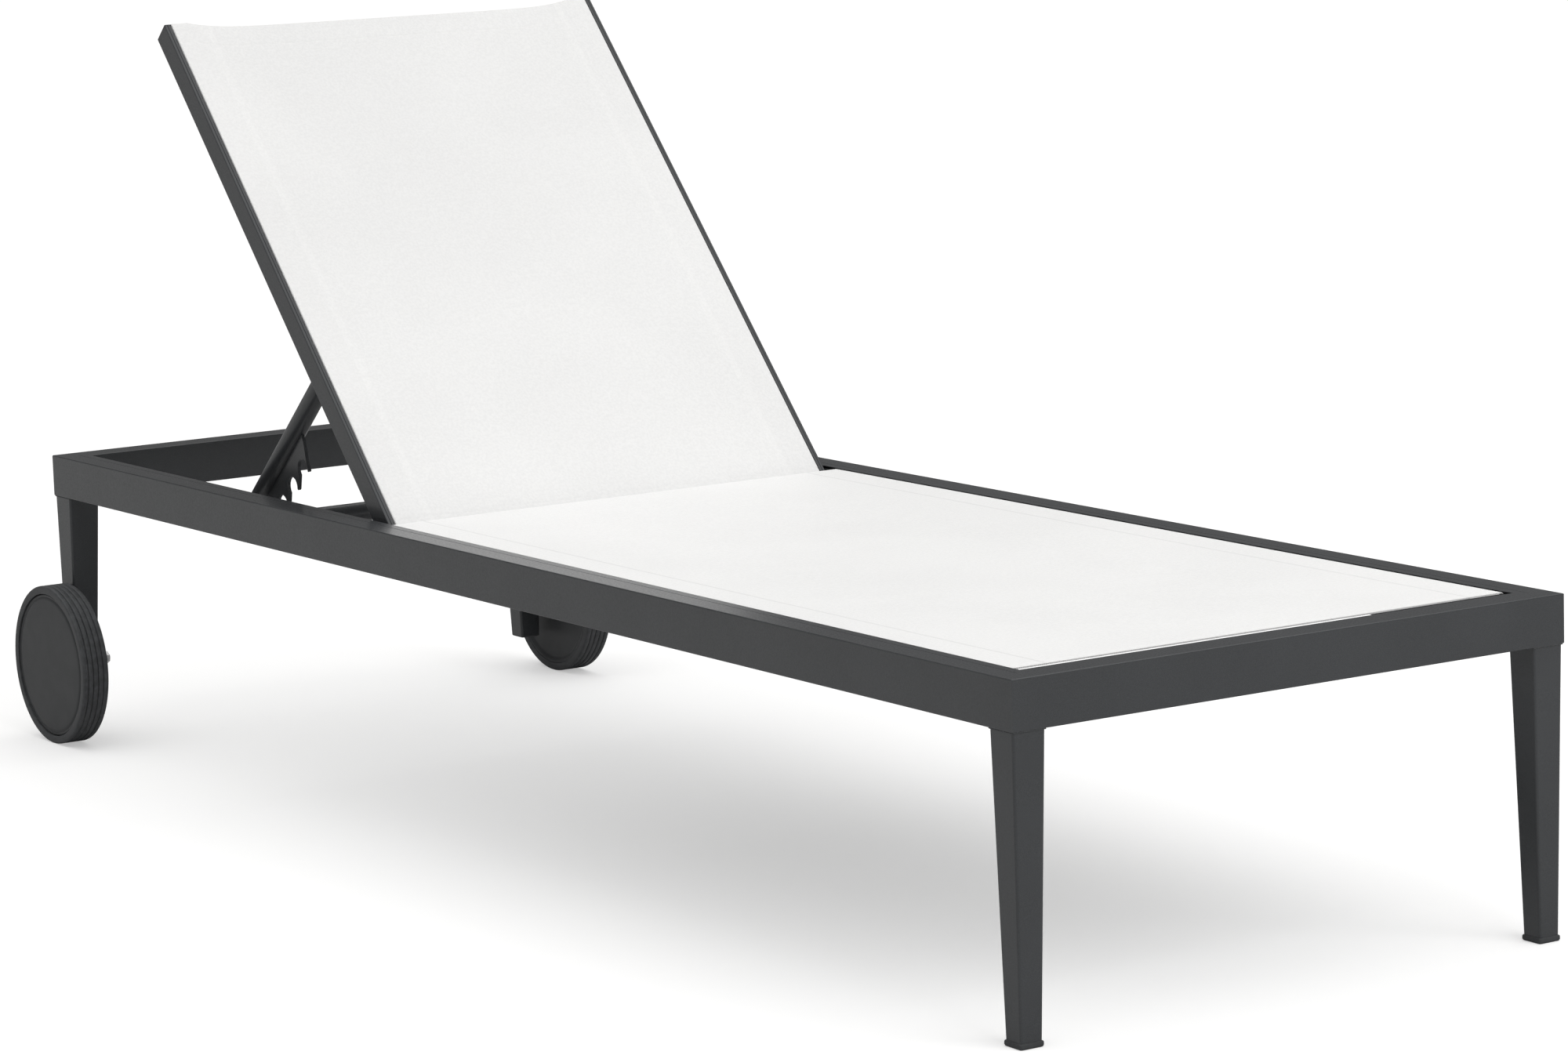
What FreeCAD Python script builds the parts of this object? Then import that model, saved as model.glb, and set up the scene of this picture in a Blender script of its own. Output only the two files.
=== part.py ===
# Reclining sun lounger: a four-rail aluminium base on two front legs and two wheels, with a sling
# seat and a backrest that is held up by a notched prop hooked over a fixed cross tube.
# Frame: +X to the sitter's left, +Y towards the head end, +Z up; the origin is on the ground
# under the middle of the whole lounger.  Millimetres.
import FreeCAD
import Part
import math
import os
import re
import Sketcher
from FreeCAD import Placement, Rotation, Vector

SIDES = {"left": 1, "right": -1}

doc = FreeCAD.newDocument("SunLounger")

# ---------------------------------------------------------------- driving sizes

sheet = doc.addObject("Spreadsheet::Sheet", "Sizes")
sizes = {
    # base frame
    "frame_length": (2014, "outside length of the base frame"),
    "frame_width": (670, "outside width of the base frame"),
    "deck_height": (350, "top of the rails above the ground"),
    "rail_wide": (36, "rail section, across"),
    "rail_deep": (50, "rail section, up and down"),
    "rail_wall": (1.8, "rail wall"),
    "rail_round": (1.2, "rounding of the rail's long edges"),
    "groove_bore": (6.4, "bore of the groove that holds a sling's spline"),
    "groove_in": (5.5, "groove centre, out from the side rail's inner face"),
    "groove_down": (6.5, "groove centre, below the rail's top"),
    "groove_slit": (2.2, "width of the slit the sling passes through"),
    "groove_skin": (1.6, "least metal around a groove"),
    "line_in": (24, "decor line on the side rail, in from its outer face"),
    "line_wide": (1, "width of the decor line"),
    "line_deep": (0.6, "depth of the decor line"),
    # legs and feet
    "leg_inset": (20, "leg centre at the top, in from the frame's outer faces"),
    "leg_top": (37, "leg section at the top"),
    "leg_wall": (1.8, "leg wall"),
    "front_leg_foot": (25, "front leg section at the bottom"),
    "front_leg_splay": (2.5, "outward lean of the front leg over its height"),
    "rear_leg_top": (39.5, "rear leg section at the top"),
    "rear_leg_inset": (21, "rear leg centre at the top, in from the frame's outer faces"),
    "rear_leg_foot": (27, "rear leg section at the bottom"),
    "rear_leg_end": (47, "bottom of the rear leg above the ground"),
    "rear_leg_splay": (5, "the rear leg's foot lies this much further out"),
    "rear_leg_rake": (1.3, "the rear leg's foot lies this much nearer to the head face"),
    "leg_round": (2.5, "rounding of the leg's long edges"),
    "cap_lip": (6, "height of a foot cap's visible lip"),
    "cap_over": (1.5, "the lip stands this far outside the leg"),
    "plug_depth": (18, "depth of a plug inside its tube"),
    "plug_slack": (0.3, "clearance between a plug and its tube"),
    # wheels and axles
    "axle_inset": (47, "axle, in from the frame's head face"),
    "wheel_radius": (98, "wheel radius over the tread"),
    "wheel_wide": (34, "wheel width"),
    "wheel_stand": (7.5, "inner side of the wheel outside the frame's outer face"),
    "tread_deep": (10, "thickness of the tread band"),
    "tread_groove": (2.2, "depth of the grooves between the tread's ribs"),
    "rib_count": (5, "ribs round the tread"),
    "rim_thick": (7, "thickness of the wheel's rim ring"),
    "web_thick": (3, "thickness of the wheel's side disc"),
    "hub_radius": (16, "radius of the wheel's hub"),
    "cover_thick": (2.4, "thickness of the wheel's outer cover"),
    "cover_sunk": (1.6, "the cover lies this far inside the tread's side"),
    "axle_radius": (4, "radius of the axle bolt"),
    "axle_hole_slack": (0.25, "axle bolt's radial clearance in the axle boss"),
    "axle_fit": (0.3, "clearance between the axle boss and the parts stacked on the axle"),
    "axle_nut_thick": (6.5, "axle nut, on the inner end of the boss"),
    "boss_weld": (0.7, "the leg's face cuts this deep into the axle boss"),
    "boss_gap": (0.15, "flat of the axle boss, in front of the leg's sloping face"),
    "axle_head_thick": (4, "head of the axle bolt"),
    "axle_washer_thick": (1.6, "washer under the bolt's head"),
    "running_slack": (0.05, "radial clearance of a running fit"),
    "bush_wall": (3, "wall of the wheel's bush"),
    # hinge of the backrest
    "hinge_from_foot": (1245, "hinge axis from the frame's foot face"),
    "hinge_down": (15, "hinge axis below the rail's top"),
    "stud_radius": (3.5, "radius of the hinge stud's shoulder"),
    "thread_radius": (3, "radius of the hinge stud's thread"),
    "nut_radius": (4.5, "radius of the rivet nut's barrel"),
    "hinge_bush_wall": (1.2, "wall of the hinge bush"),
    # backrest
    "recline_rest": (47.46, "angle of the backrest above level, raised"),
    "stile_wide": (28, "stile section, across"),
    "stile_deep": (27.4, "stile section, front to back"),
    "stile_wall": (1.8, "stile wall"),
    "stile_gap": (6, "gap between stile and side rail"),
    "stile_length": (735, "hinge axis to the stile's top end"),
    "stile_tail": (12, "hinge axis to the stile's lower end"),
    "tail_cap": (7, "length of the cap on the stile's lower end"),
    "back_groove_in": (8.2, "groove centre, in from the stile's outer face"),
    "back_groove_down": (5.2, "groove centre, below the stile's front face"),
    "tube_radius": (12, "radius of the backrest's and the prop's round tubes"),
    "tube_wall": (1.5, "wall of the round tubes"),
    "top_bar_reach": (708, "hinge axis to the top bar"),
    "low_bar_reach": (32, "hinge axis to the lower bar"),
    "bar_sunk": (0.5, "top bar behind the stile's front face"),
    "low_bar_back": (1, "lower bar behind the stile's middle"),
    "cap_thick": (2, "thickness of the caps on the stiles"),
    "stile_line_in": (3.6, "decor line on the stile, in from its outer face"),
    # prop and its fixed cross tube
    "pivot_reach": (253, "hinge axis to the prop's pivot, along the stile"),
    "pivot_behind": (4, "prop's pivot behind the stile's middle"),
    "pin_radius": (4, "radius of the prop's pivot pin"),
    "arm_inset": (15, "prop arm's centre, in from the stile's inner face"),
    "arm_length": (330, "prop pivot to the arm's end"),
    "rest_from_foot": (1594.5, "fixed cross tube from the frame's foot face"),
    "rest_down": (46, "fixed cross tube's centre below the rail's top"),
    "rest_radius": (11.5, "radius of the fixed cross tube"),
    "rest_offset": (41.7, "cross tube's centre from the arm's centre line"),
    "notch_slack": (0.5, "clearance between a notch and the cross tube"),
    "notch_pitch": (36, "distance between notches"),
    "notch_count": (4, "notches in a plate"),
    "hook_reach": (52, "hook tips, from the arm's centre line"),
    "hook_lean": (8, "a hook's tip stands this far under its notch's middle"),
    "hook_tip": (2.5, "width of a hook's tip"),
    "release_slope": (38, "slope of the way out of the lowest notch"),
    "plate_thick": (4, "thickness of the notched plate"),
    "plate_lead": (27, "plate ahead of its first notch's middle"),
    "plate_tail": (26, "plate beyond its last notch's middle"),
    # seat
    "sling_thick": (1.2, "thickness of the sling fabric"),
    "sling_down": (1.0, "the seat sling's top lies this far below the rail's top"),
    "soft_gap": (0.3, "clearance round a soft piece"),
    "seat_front_gap": (14, "gap between foot rail and seat sling"),
    "seat_stop": (23, "the seat sling ends this far before the hinge"),
    "back_sling_start": (0.5, "hinge axis to the back sling's lower edge"),
    "back_sling_dip": (16, "hollow of the back sling's top edge"),
    "spline_slack": (0.35, "clearance between a spline and its groove"),
    "spreader_from_foot": (850, "spreader bar from the frame's foot face"),
    "spreader_wide": (40, "spreader section, along the frame"),
    "spreader_deep": (20, "spreader section, up and down"),
    "spreader_down": (26, "spreader's top below the rail's top"),
}
for row, (word, (amount, meaning)) in enumerate(sizes.items(), start=1):
    sheet.set(f"A{row}", meaning)
    sheet.set(f"B{row}", str(amount))
    sheet.setAlias(f"B{row}", word)
doc.recompute()

# ---------------------------------------------------------------- places that follow from the sizes

places = doc.addObject("App::VarSet", "Places")
known_places = set()


def tied(words):
    """The expression with each size and place named by the object that holds it."""
    def named(match):
        word = match.group()
        if word in sizes:
            return "Sizes." + word
        return "Places." + word if word in known_places else word
    return re.sub(r"[a-z][a-z_0-9]*", named, words)


def place(word, words, kind="App::PropertyFloat"):
    places.addProperty(kind, word, "Places")
    places.setExpression(word, tied(words))
    known_places.add(word)


place("foot_y", "-(frame_length - axle_inset + wheel_radius) / 2")
place("head_y", "foot_y + frame_length")
place("outer_x", "frame_width / 2")
place("inner_x", "outer_x - rail_wide")
place("rail_base", "deck_height - rail_deep")
place("axle_y", "head_y - axle_inset")
place("leg_top_x", "outer_x - leg_inset")
place("rear_leg_x", "outer_x - rear_leg_inset")
place("rear_leg_y", "head_y - rear_leg_inset")
place("rear_foot_x", "rear_leg_x + rear_leg_splay")
place("rear_foot_y", "rear_leg_y + rear_leg_rake")
place("axle_share", "(wheel_radius - rear_leg_end) / (rail_base - rear_leg_end)")
place("leg_half", "(rear_leg_foot + axle_share * (rear_leg_top - rear_leg_foot)) / 2")
place("leg_face", "rear_foot_x + axle_share * (rear_leg_x - rear_foot_x) + leg_half")
place("leg_back", "leg_face - 2 * leg_half")
place("leg_side_y", "rear_foot_y + axle_share * (rear_leg_y - rear_foot_y) - leg_half")
place("boss_radius", "leg_side_y - axle_y + boss_weld")
place("nut_face", "leg_back - axle_fit")
place("wheel_x", "outer_x + wheel_stand")
place("hinge_y", "foot_y + hinge_from_foot")
place("hinge_z", "deck_height - hinge_down")
place("stile_outer", "inner_x - stile_gap")
place("bar_forward", "stile_deep / 2 - tube_radius - bar_sunk")
place("stile_inner", "stile_outer - stile_wide")
place("bush_radius", "stud_radius + running_slack + hinge_bush_wall")
place("back_groove_x", "stile_outer - back_groove_in")
place("back_groove_z", "stile_deep / 2 - back_groove_down")
place("back_sling_low", "stile_deep / 2 + soft_gap")
place("arm_x", "stile_inner - arm_inset")
place("prop_end_x", "arm_x + tube_radius")
place("pivot_y", "hinge_y + pivot_reach * cos(recline_rest) + pivot_behind * sin(recline_rest)")
place("pivot_z", "hinge_z + pivot_reach * sin(recline_rest) - pivot_behind * cos(recline_rest)")
place("rest_y", "foot_y + rest_from_foot")
place("rest_z", "deck_height - rest_down")
place("strut_span", "sqrt((rest_y - pivot_y)^2 + (pivot_z - rest_z)^2)")
place("last_notch", "sqrt(strut_span^2 - rest_offset^2)")
place("notch_radius", "rest_radius + notch_slack")
place("prop_angle", "asin(rest_offset / strut_span) - atan2(pivot_z - rest_z; rest_y - pivot_y)",
      "App::PropertyAngle")
place("back_angle", "recline_rest * 1deg", "App::PropertyAngle")
doc.recompute()

# ---------------------------------------------------------------- ways of making a piece


def bind(thing, **words):
    for setting, text in words.items():
        thing.setExpression(setting.replace("__", "."), tied(text))
    return thing


def box(name, low, size):
    thing = doc.addObject("Part::Box", name)
    bind(thing, Length=size[0], Width=size[1], Height=size[2])
    return bind(thing, Placement__Base__x=low[0], Placement__Base__y=low[1], Placement__Base__z=low[2])


AXES = {"x": Rotation(Vector(0, 1, 0), 90), "y": Rotation(Vector(1, 0, 0), -90), "z": Rotation()}


def rod(name, axis, start, length, radius):
    """A round bar from start, running towards +axis."""
    thing = doc.addObject("Part::Cylinder", name)
    thing.Placement = Placement(Vector(), AXES[axis])
    bind(thing, Radius=radius, Height=length)
    return bind(thing, Placement__Base__x=start[0], Placement__Base__y=start[1],
                Placement__Base__z=start[2])


def cut(name, base, *tools):
    for number, tool in enumerate(tools):
        piece = doc.addObject("Part::Cut", name if tool is tools[-1] else f"{name}_cut{number}")
        piece.Base = base
        piece.Tool = tool
        base = piece
    return base


def fuse(name, *pieces):
    whole = doc.addObject("Part::MultiFuse", name)
    whole.Shapes = list(pieces)
    return whole


def group(name, pieces):
    """Like pieces that share one node and stay separate solids."""
    whole = doc.addObject("Part::Compound", name)
    whole.Links = pieces
    return whole


def pipe(name, axis, start, length, radius, wall):
    outside = rod(name + "_outside", axis, start, length, radius)
    inside = rod(name + "_inside", axis, start, length, f"{radius} - {wall}")
    return cut(name, outside, inside)


def hexagon(name, start, length, radius):
    """A hexagonal nut blank along +X."""
    thing = doc.addObject("Part::Prism", name)
    thing.Polygon = 6
    thing.Placement = Placement(Vector(), AXES["x"])
    bind(thing, Circumradius=radius, Height=length)
    return bind(thing, Placement__Base__x=start[0], Placement__Base__y=start[1],
                Placement__Base__z=start[2])


def plane_of(body, role):
    return next(item for item in body.Origin.OriginFeatures if item.Role == role)


def sketch_on(body, role, name, offset="0"):
    sketch = body.newObject("Sketcher::SketchObject", name)
    sketch.AttachmentSupport = [(plane_of(body, role), "")]
    sketch.MapMode = "FlatFace"
    sketch.setExpression(".AttachmentOffset.Base.z", tied(offset))
    return sketch


def draw_outline(sketch, corners):
    """A closed outline of straight edges; each corner is (across, up) in words."""
    first = sketch.GeometryCount
    count = len(corners)
    ring = [Vector(math.cos(2 * math.pi * k / count), math.sin(2 * math.pi * k / count), 0)
            for k in range(count)]
    for k in range(count):
        sketch.addGeometry(Part.LineSegment(ring[k], ring[(k + 1) % count]), False)
    for k, (across, up) in enumerate(corners):
        edge = first + k
        following = first + (k + 1) % count
        sketch.addConstraint(Sketcher.Constraint("Coincident", edge, 2, following, 1))
        for kind, words in (("DistanceX", across), ("DistanceY", up)):
            number = sketch.addConstraint(Sketcher.Constraint(kind, -1, 1, edge, 1, 1.0))
            sketch.setExpression(f"Constraints[{number}]", tied(words))


def draw_circle(sketch, across, up, radius):
    edge = sketch.addGeometry(Part.Circle(Vector(1, 1, 0), Vector(0, 0, 1), 1), False)
    for kind, words in (("DistanceX", across), ("DistanceY", up)):
        number = sketch.addConstraint(Sketcher.Constraint(kind, -1, 1, edge, 3, 1.0))
        sketch.setExpression(f"Constraints[{number}]", tied(words))
    number = sketch.addConstraint(Sketcher.Constraint("Radius", edge, 1.0))
    sketch.setExpression(f"Constraints[{number}]", tied(radius))


def rectangle(low_x, high_x, low_y, high_y):
    return [(low_x, low_y), (high_x, low_y), (high_x, high_y), (low_x, high_y)]


def pad(body, sketch, length, reverse=False):
    feature = body.newObject("PartDesign::Pad", sketch.Name + "_pad")
    feature.Profile = sketch
    feature.Reversed = reverse
    bind(feature, Length=length)
    doc.recompute()
    return feature


def pocket(body, sketch):
    """Cuts right through, both ways."""
    before = body.Shape.Volume
    feature = body.newObject("PartDesign::Pocket", sketch.Name + "_pocket")
    feature.Profile = sketch
    feature.Midplane = True
    feature.Type = "ThroughAll"
    doc.recompute()
    if body.Shape.Volume >= before:
        raise RuntimeError(f"{feature.Name} removed nothing")
    return feature


def blind_pocket(body, sketch, depth, reverse=False):
    before = body.Shape.Volume
    feature = body.newObject("PartDesign::Pocket", sketch.Name + "_pocket")
    feature.Profile = sketch
    feature.Reversed = reverse
    bind(feature, Length=depth)
    doc.recompute()
    if body.Shape.Volume >= before:
        raise RuntimeError(f"{feature.Name} removed nothing")
    return feature


def round_edges(body, radius, chosen):
    """Rounds the edges of the body's tip that chosen(edge) picks."""
    tip = body.Tip
    names = [f"Edge{k}" for k, edge in enumerate(tip.Shape.Edges, start=1) if chosen(edge)]
    feature = body.newObject("PartDesign::Fillet", body.Name + "_round")
    feature.Base = (tip, names)
    bind(feature, Radius=radius)
    doc.recompute()
    return feature


def new_body(name):
    return doc.addObject("PartDesign::Body", name)


def set_down(piece, y, z, angle):
    """Turns a piece made in its own level frame about X and carries it to (y, z)."""
    piece.Placement = Placement(Vector(), Rotation(Vector(1, 0, 0), 1))
    return bind(piece, Placement__Base__y=y, Placement__Base__z=z, Placement__Rotation__Angle=angle)


def on_backrest(piece):
    return set_down(piece, "hinge_y", "hinge_z", "back_angle")


def on_prop(piece):
    return set_down(piece, "pivot_y", "pivot_z", "prop_angle")


nodes = []


def keep(piece, label):
    piece.Label = label
    nodes.append(piece)
    return piece


def straight_along(edge, axis):
    """True for a straight edge that runs along the axis (0, 1 or 2)."""
    if not isinstance(edge.Curve, Part.Line):
        return False
    ends = [edge.Vertexes[0].Point, edge.Vertexes[-1].Point]
    drift = [abs(ends[0][k] - ends[1][k]) for k in range(3) if k != axis]
    return max(drift) < 0.01


# ---------------------------------------------------------------- base frame


def decor_line(body, label, side, across, top):
    """A shallow V along an extrusion's face."""
    line = sketch_on(body, "XZ_Plane", label + "_line")
    draw_outline(line, [
        (f"{side} * ({across} - line_wide / 2)", f"{top} + 0.1"),
        (f"{side} * ({across})", f"{top} - line_deep"),
        (f"{side} * ({across} + line_wide / 2)", f"{top} + 0.1")])
    pocket(body, line)


def side_rail(label, side):
    """Extrusion with a sling groove in its inner top corner; mitred at both ends."""
    body = new_body(label + "_body")
    section = sketch_on(body, "XZ_Plane", label + "_section", "-foot_y")
    near, far = f"{side} * inner_x", f"{side} * outer_x"
    draw_outline(section, rectangle(near, far, "rail_base", "deck_height"))
    pad(body, section, "frame_length", reverse=True)
    round_edges(body, "rail_round", lambda edge: straight_along(edge, 1))

    # the hollow keeps a solid corner round the groove
    corner = "groove_in + groove_down + 1.4142 * (groove_bore / 2 + groove_skin)"
    hollow = sketch_on(body, "XZ_Plane", label + "_hollow")
    draw_outline(hollow, [
        (f"{side} * (inner_x + rail_wall)", "rail_base + rail_wall"),
        (f"{side} * (outer_x - rail_wall)", "rail_base + rail_wall"),
        (f"{side} * (outer_x - rail_wall)", "deck_height - rail_wall"),
        (f"{side} * (inner_x + {corner} - rail_wall)", "deck_height - rail_wall"),
        (f"{side} * (inner_x + rail_wall)", f"deck_height + rail_wall - ({corner})")])
    pocket(body, hollow)

    groove = sketch_on(body, "XZ_Plane", label + "_groove")
    draw_circle(groove, f"{side} * (inner_x + groove_in)", "deck_height - groove_down",
                "groove_bore / 2")
    pocket(body, groove)

    # the slit runs at 45 degrees from the groove out through the top inner corner
    half = "groove_slit * 0.3536"
    slit = sketch_on(body, "XZ_Plane", label + "_slit")
    draw_outline(slit, [
        (f"{side} * (inner_x + groove_in + {half})", f"deck_height - groove_down - {half}"),
        (f"{side} * (inner_x + groove_in - {half})", f"deck_height - groove_down - {half}"),
        (f"{side} * (inner_x - rail_round - 1)",
         f"deck_height - groove_down + groove_in + rail_round + 1 - 2 * {half}"),
        (f"{side} * (inner_x - rail_round - 1)",
         f"deck_height - groove_down + groove_in + rail_round + 1 + 2 * {half}"),
        (f"{side} * (inner_x + groove_in + {half})", f"deck_height - groove_down + {half}")])
    pocket(body, slit)

    decor_line(body, label, side, "outer_x - line_in", "deck_height")

    mitre = sketch_on(body, "XY_Plane", label + "_mitre")
    for end, inward in (("foot_y", 1), ("head_y", -1)):
        draw_outline(mitre, [
            (f"{side} * (outer_x + 1)", f"{end} - {inward}"),
            (f"{side} * (inner_x - 1)", f"{end} + {inward} * (rail_wide + 1)"),
            (f"{side} * (inner_x - 1)", f"{end} - {inward}")])
    pocket(body, mitre)

    # hole for the hinge's rivet nut, through the inner wall only
    seat = sketch_on(body, "YZ_Plane", label + "_nut_hole", f"{side} * (inner_x - 1)")
    draw_circle(seat, "hinge_y", "hinge_z", "nut_radius")
    blind_pocket(body, seat, "rail_wide / 2", reverse=side > 0)
    return keep(body, label)


def end_rail(label, end, inward):
    """Plain box section between the side rails, mitred at both ends."""
    body = new_body(label + "_body")
    section = sketch_on(body, "YZ_Plane", label + "_section", "-outer_x")
    draw_outline(section, rectangle(end, f"{end} + {inward} * rail_wide", "rail_base", "deck_height"))
    pad(body, section, "frame_width")
    round_edges(body, "rail_round", lambda edge: straight_along(edge, 0))
    hollow = sketch_on(body, "YZ_Plane", label + "_hollow")
    draw_outline(hollow, rectangle(
        f"{end} + {inward} * rail_wall", f"{end} + {inward} * (rail_wide - rail_wall)",
        "rail_base + rail_wall", "deck_height - rail_wall"))
    pocket(body, hollow)
    mitre = sketch_on(body, "XY_Plane", label + "_mitre")
    for side in SIDES.values():
        draw_outline(mitre, [
            (f"{side} * (outer_x + 1)", f"{end} - {inward}"),
            (f"{side} * (outer_x + 1)", f"{end} + {inward} * (rail_wide + 1)"),
            (f"{side} * (inner_x - 1)", f"{end} + {inward} * (rail_wide + 1)")])
    pocket(body, mitre)
    return keep(body, label)


for name, side in SIDES.items():
    side_rail(f"side_rail_{name}", side)
end_rail("foot_rail", "foot_y", 1)
end_rail("head_rail", "head_y", -1)

# spreader bar under the seat: keeps the sling's pull from bowing the side rails
spreader_low = "deck_height - spreader_down - spreader_deep"
spreader = box("spreader_outside",
               ("-inner_x", "foot_y + spreader_from_foot - spreader_wide / 2", spreader_low),
               ("2 * inner_x", "spreader_wide", "spreader_deep"))
spreader_hollow = box("spreader_hollow",
                      ("-inner_x", "foot_y + spreader_from_foot - spreader_wide / 2 + tube_wall",
                       f"{spreader_low} + tube_wall"),
                      ("2 * inner_x", "spreader_wide - 2 * tube_wall", "spreader_deep - 2 * tube_wall"))
keep(cut("spreader", spreader, spreader_hollow), "seat_spreader")

# fixed cross tube that the prop hooks over
keep(pipe("rest_tube", "x", ("-inner_x", "rest_y", "rest_z"), "2 * inner_x", "rest_radius",
          "tube_wall"), "prop_rest_tube")

# ---------------------------------------------------------------- legs and feet


def tapered_leg(label, top, foot, top_z, foot_z):
    """Square tube that narrows downwards; top and foot are (x, y, section) in words."""
    body = new_body(label + "_body")

    def square(name, centre, height, shrink):
        sketch = sketch_on(body, "XY_Plane", f"{label}_{name}", height)
        half = f"({centre[2]} / 2 - {shrink})"
        draw_outline(sketch, rectangle(f"{centre[0]} - {half}", f"{centre[0]} + {half}",
                                       f"{centre[1]} - {half}", f"{centre[1]} + {half}"))
        return sketch

    outside = body.newObject("PartDesign::AdditiveLoft", label + "_outside")
    outside.Profile = square("top", top, top_z, "0")
    outside.Sections = [square("foot", foot, foot_z, "0")]
    doc.recompute()
    middle = (places.rail_base + sheet.rear_leg_end) / 2
    round_edges(body, "leg_round", lambda edge: edge.BoundBox.ZMin < middle < edge.BoundBox.ZMax)
    inside = body.newObject("PartDesign::SubtractiveLoft", label + "_inside")
    inside.Profile = square("top_hollow", top, top_z, "leg_wall")
    inside.Sections = [square("foot_hollow", foot, foot_z, "leg_wall")]
    doc.recompute()
    return keep(body, label)


for name, side in SIDES.items():
    tapered_leg(f"leg_front_{name}",
                (f"{side} * leg_top_x", "foot_y + leg_inset", "leg_top"),
                (f"{side} * (leg_top_x + front_leg_splay)", "foot_y + leg_inset - front_leg_splay",
                 "front_leg_foot"),
                "rail_base", "cap_lip")
    tapered_leg(f"leg_rear_{name}",
                (f"{side} * rear_leg_x", "rear_leg_y", "rear_leg_top"),
                (f"{side} * rear_foot_x", "rear_foot_y", "rear_leg_foot"),
                "rail_base", "rear_leg_end")


def plugged_cap(name, x, y, section, low, lip, over):
    """A cap whose lip closes a square tube from below and whose plug stands up inside it."""
    half = f"({section} / 2 + {over})"
    cover = box(name + "_lip", (f"{x} - {half}", f"{y} - {half}", low),
                (f"2 * {half}", f"2 * {half}", lip))
    rounded = doc.addObject("Part::Fillet", name + "_rounded")
    rounded.Base = cover
    doc.recompute()
    upright = [k for k, edge in enumerate(cover.Shape.Edges, start=1) if straight_along(edge, 2)]
    rounded.Edges = [(k, sheet.leg_round, sheet.leg_round) for k in upright]
    inner = f"({section} / 2 - leg_wall - plug_slack - 0.4)"
    plug = box(name + "_plug", (f"{x} - {inner}", f"{y} - {inner}", f"{low} + {lip}"),
               (f"2 * {inner}", f"2 * {inner}", "plug_depth"))
    return fuse(name, rounded, plug)


front_caps = []
rear_plugs = []
for name, side in SIDES.items():
    front_caps.append(plugged_cap(
        f"foot_cap_{name}", f"{side} * (leg_top_x + front_leg_splay)",
        "(foot_y + leg_inset - front_leg_splay)", "front_leg_foot", "0", "cap_lip", "cap_over"))
    rear_plugs.append(plugged_cap(
        f"rear_plug_{name}", f"{side} * rear_foot_x", "rear_foot_y", "rear_leg_foot",
        "(rear_leg_end - cap_thick)", "cap_thick", "0"))
keep(group("front_foot_caps", front_caps), "foot_caps")
keep(group("rear_leg_end_plugs", rear_plugs), "rear_leg_plugs")

# ---------------------------------------------------------------- wheels


def turned(label, outline, side):
    """A ring or disc turned about the axle; outline is (outward along X, radius)."""
    body = new_body(label + "_body")
    sketch = sketch_on(body, "XZ_Plane", label + "_half")
    draw_outline(sketch, [(f"{side} * ({along})", radius) for along, radius in outline])
    feature = body.newObject("PartDesign::Revolution", label + "_turned")
    feature.Profile = sketch
    feature.ReferenceAxis = (sketch, ["H_Axis"])
    feature.Angle = 360
    doc.recompute()
    bind(body, Placement__Base__y="axle_y", Placement__Base__z="wheel_radius")
    return keep(body, label)


def tread_outline():
    """Ribs with chamfered shoulders round a band."""
    ribs = int(sheet.rib_count)
    rib = f"(wheel_wide / {ribs})"
    flank = "tread_groove"
    points = [("wheel_x", "wheel_radius - tread_deep")]
    for k in range(ribs):
        start = f"wheel_x + {k} * {rib}"
        points.append((f"{start} + 0.2", f"wheel_radius - {flank}"))
        points.append((f"{start} + 0.3 * {flank} + 0.2", f"wheel_radius - 0.25 * {flank}"))
        points.append((f"{start} + {flank}", "wheel_radius"))
        points.append((f"{start} + {rib} - {flank}", "wheel_radius"))
        points.append((f"{start} + {rib} - 0.3 * {flank} - 0.2", f"wheel_radius - 0.25 * {flank}"))
        points.append((f"{start} + {rib} - 0.2", f"wheel_radius - {flank}"))
    points.append(("wheel_x + wheel_wide", "wheel_radius - tread_deep"))
    return points


rim_outer = "wheel_radius - tread_deep"
rim_inner = f"{rim_outer} - rim_thick"
bore = "axle_radius + running_slack + bush_wall"
hub_end = "wheel_x + wheel_wide - 14"
cover_inner = "wheel_x + wheel_wide - cover_sunk - cover_thick"
for name, side in SIDES.items():
    turned(f"wheel_tread_{name}", tread_outline(), side)
    turned(f"wheel_body_{name}", [
        ("wheel_x + 1", f"{rim_outer} - 0.05"),
        ("wheel_x + 1", f"{bore} + 0.05"),
        (hub_end, f"{bore} + 0.05"),
        (hub_end, "hub_radius"),
        ("wheel_x + 1 + web_thick", "hub_radius"),
        ("wheel_x + 1 + web_thick", rim_inner),
        (cover_inner, rim_inner),
        (cover_inner, f"{rim_outer} - 0.05")], side)
    turned(f"wheel_cover_{name}", [
        (cover_inner, "0"),
        (cover_inner, f"{rim_outer} - 0.3"),
        (f"{cover_inner} + cover_thick - 0.8", f"{rim_outer} - 0.3"),
        (f"{cover_inner} + cover_thick", f"{rim_outer} - 1.6"),
        (f"{cover_inner} + cover_thick", "0")], side)
    turned(f"wheel_bush_{name}", [
        ("wheel_x + 0.4", "axle_radius + running_slack"),
        ("wheel_x + 0.4", f"{bore} + 3"),
        ("wheel_x + 1", f"{bore} + 3"),
        ("wheel_x + 1", bore),
        (hub_end, bore),
        (hub_end, "axle_radius + running_slack")], side)

bolts, nuts, washers, sleeves, bosses = [], [], [], [], []


def across(side, low, high):
    """Start and length along +X of a piece that spans low to high outward on one side."""
    return (low if side > 0 else f"-({high})"), f"({high}) - ({low})"


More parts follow.
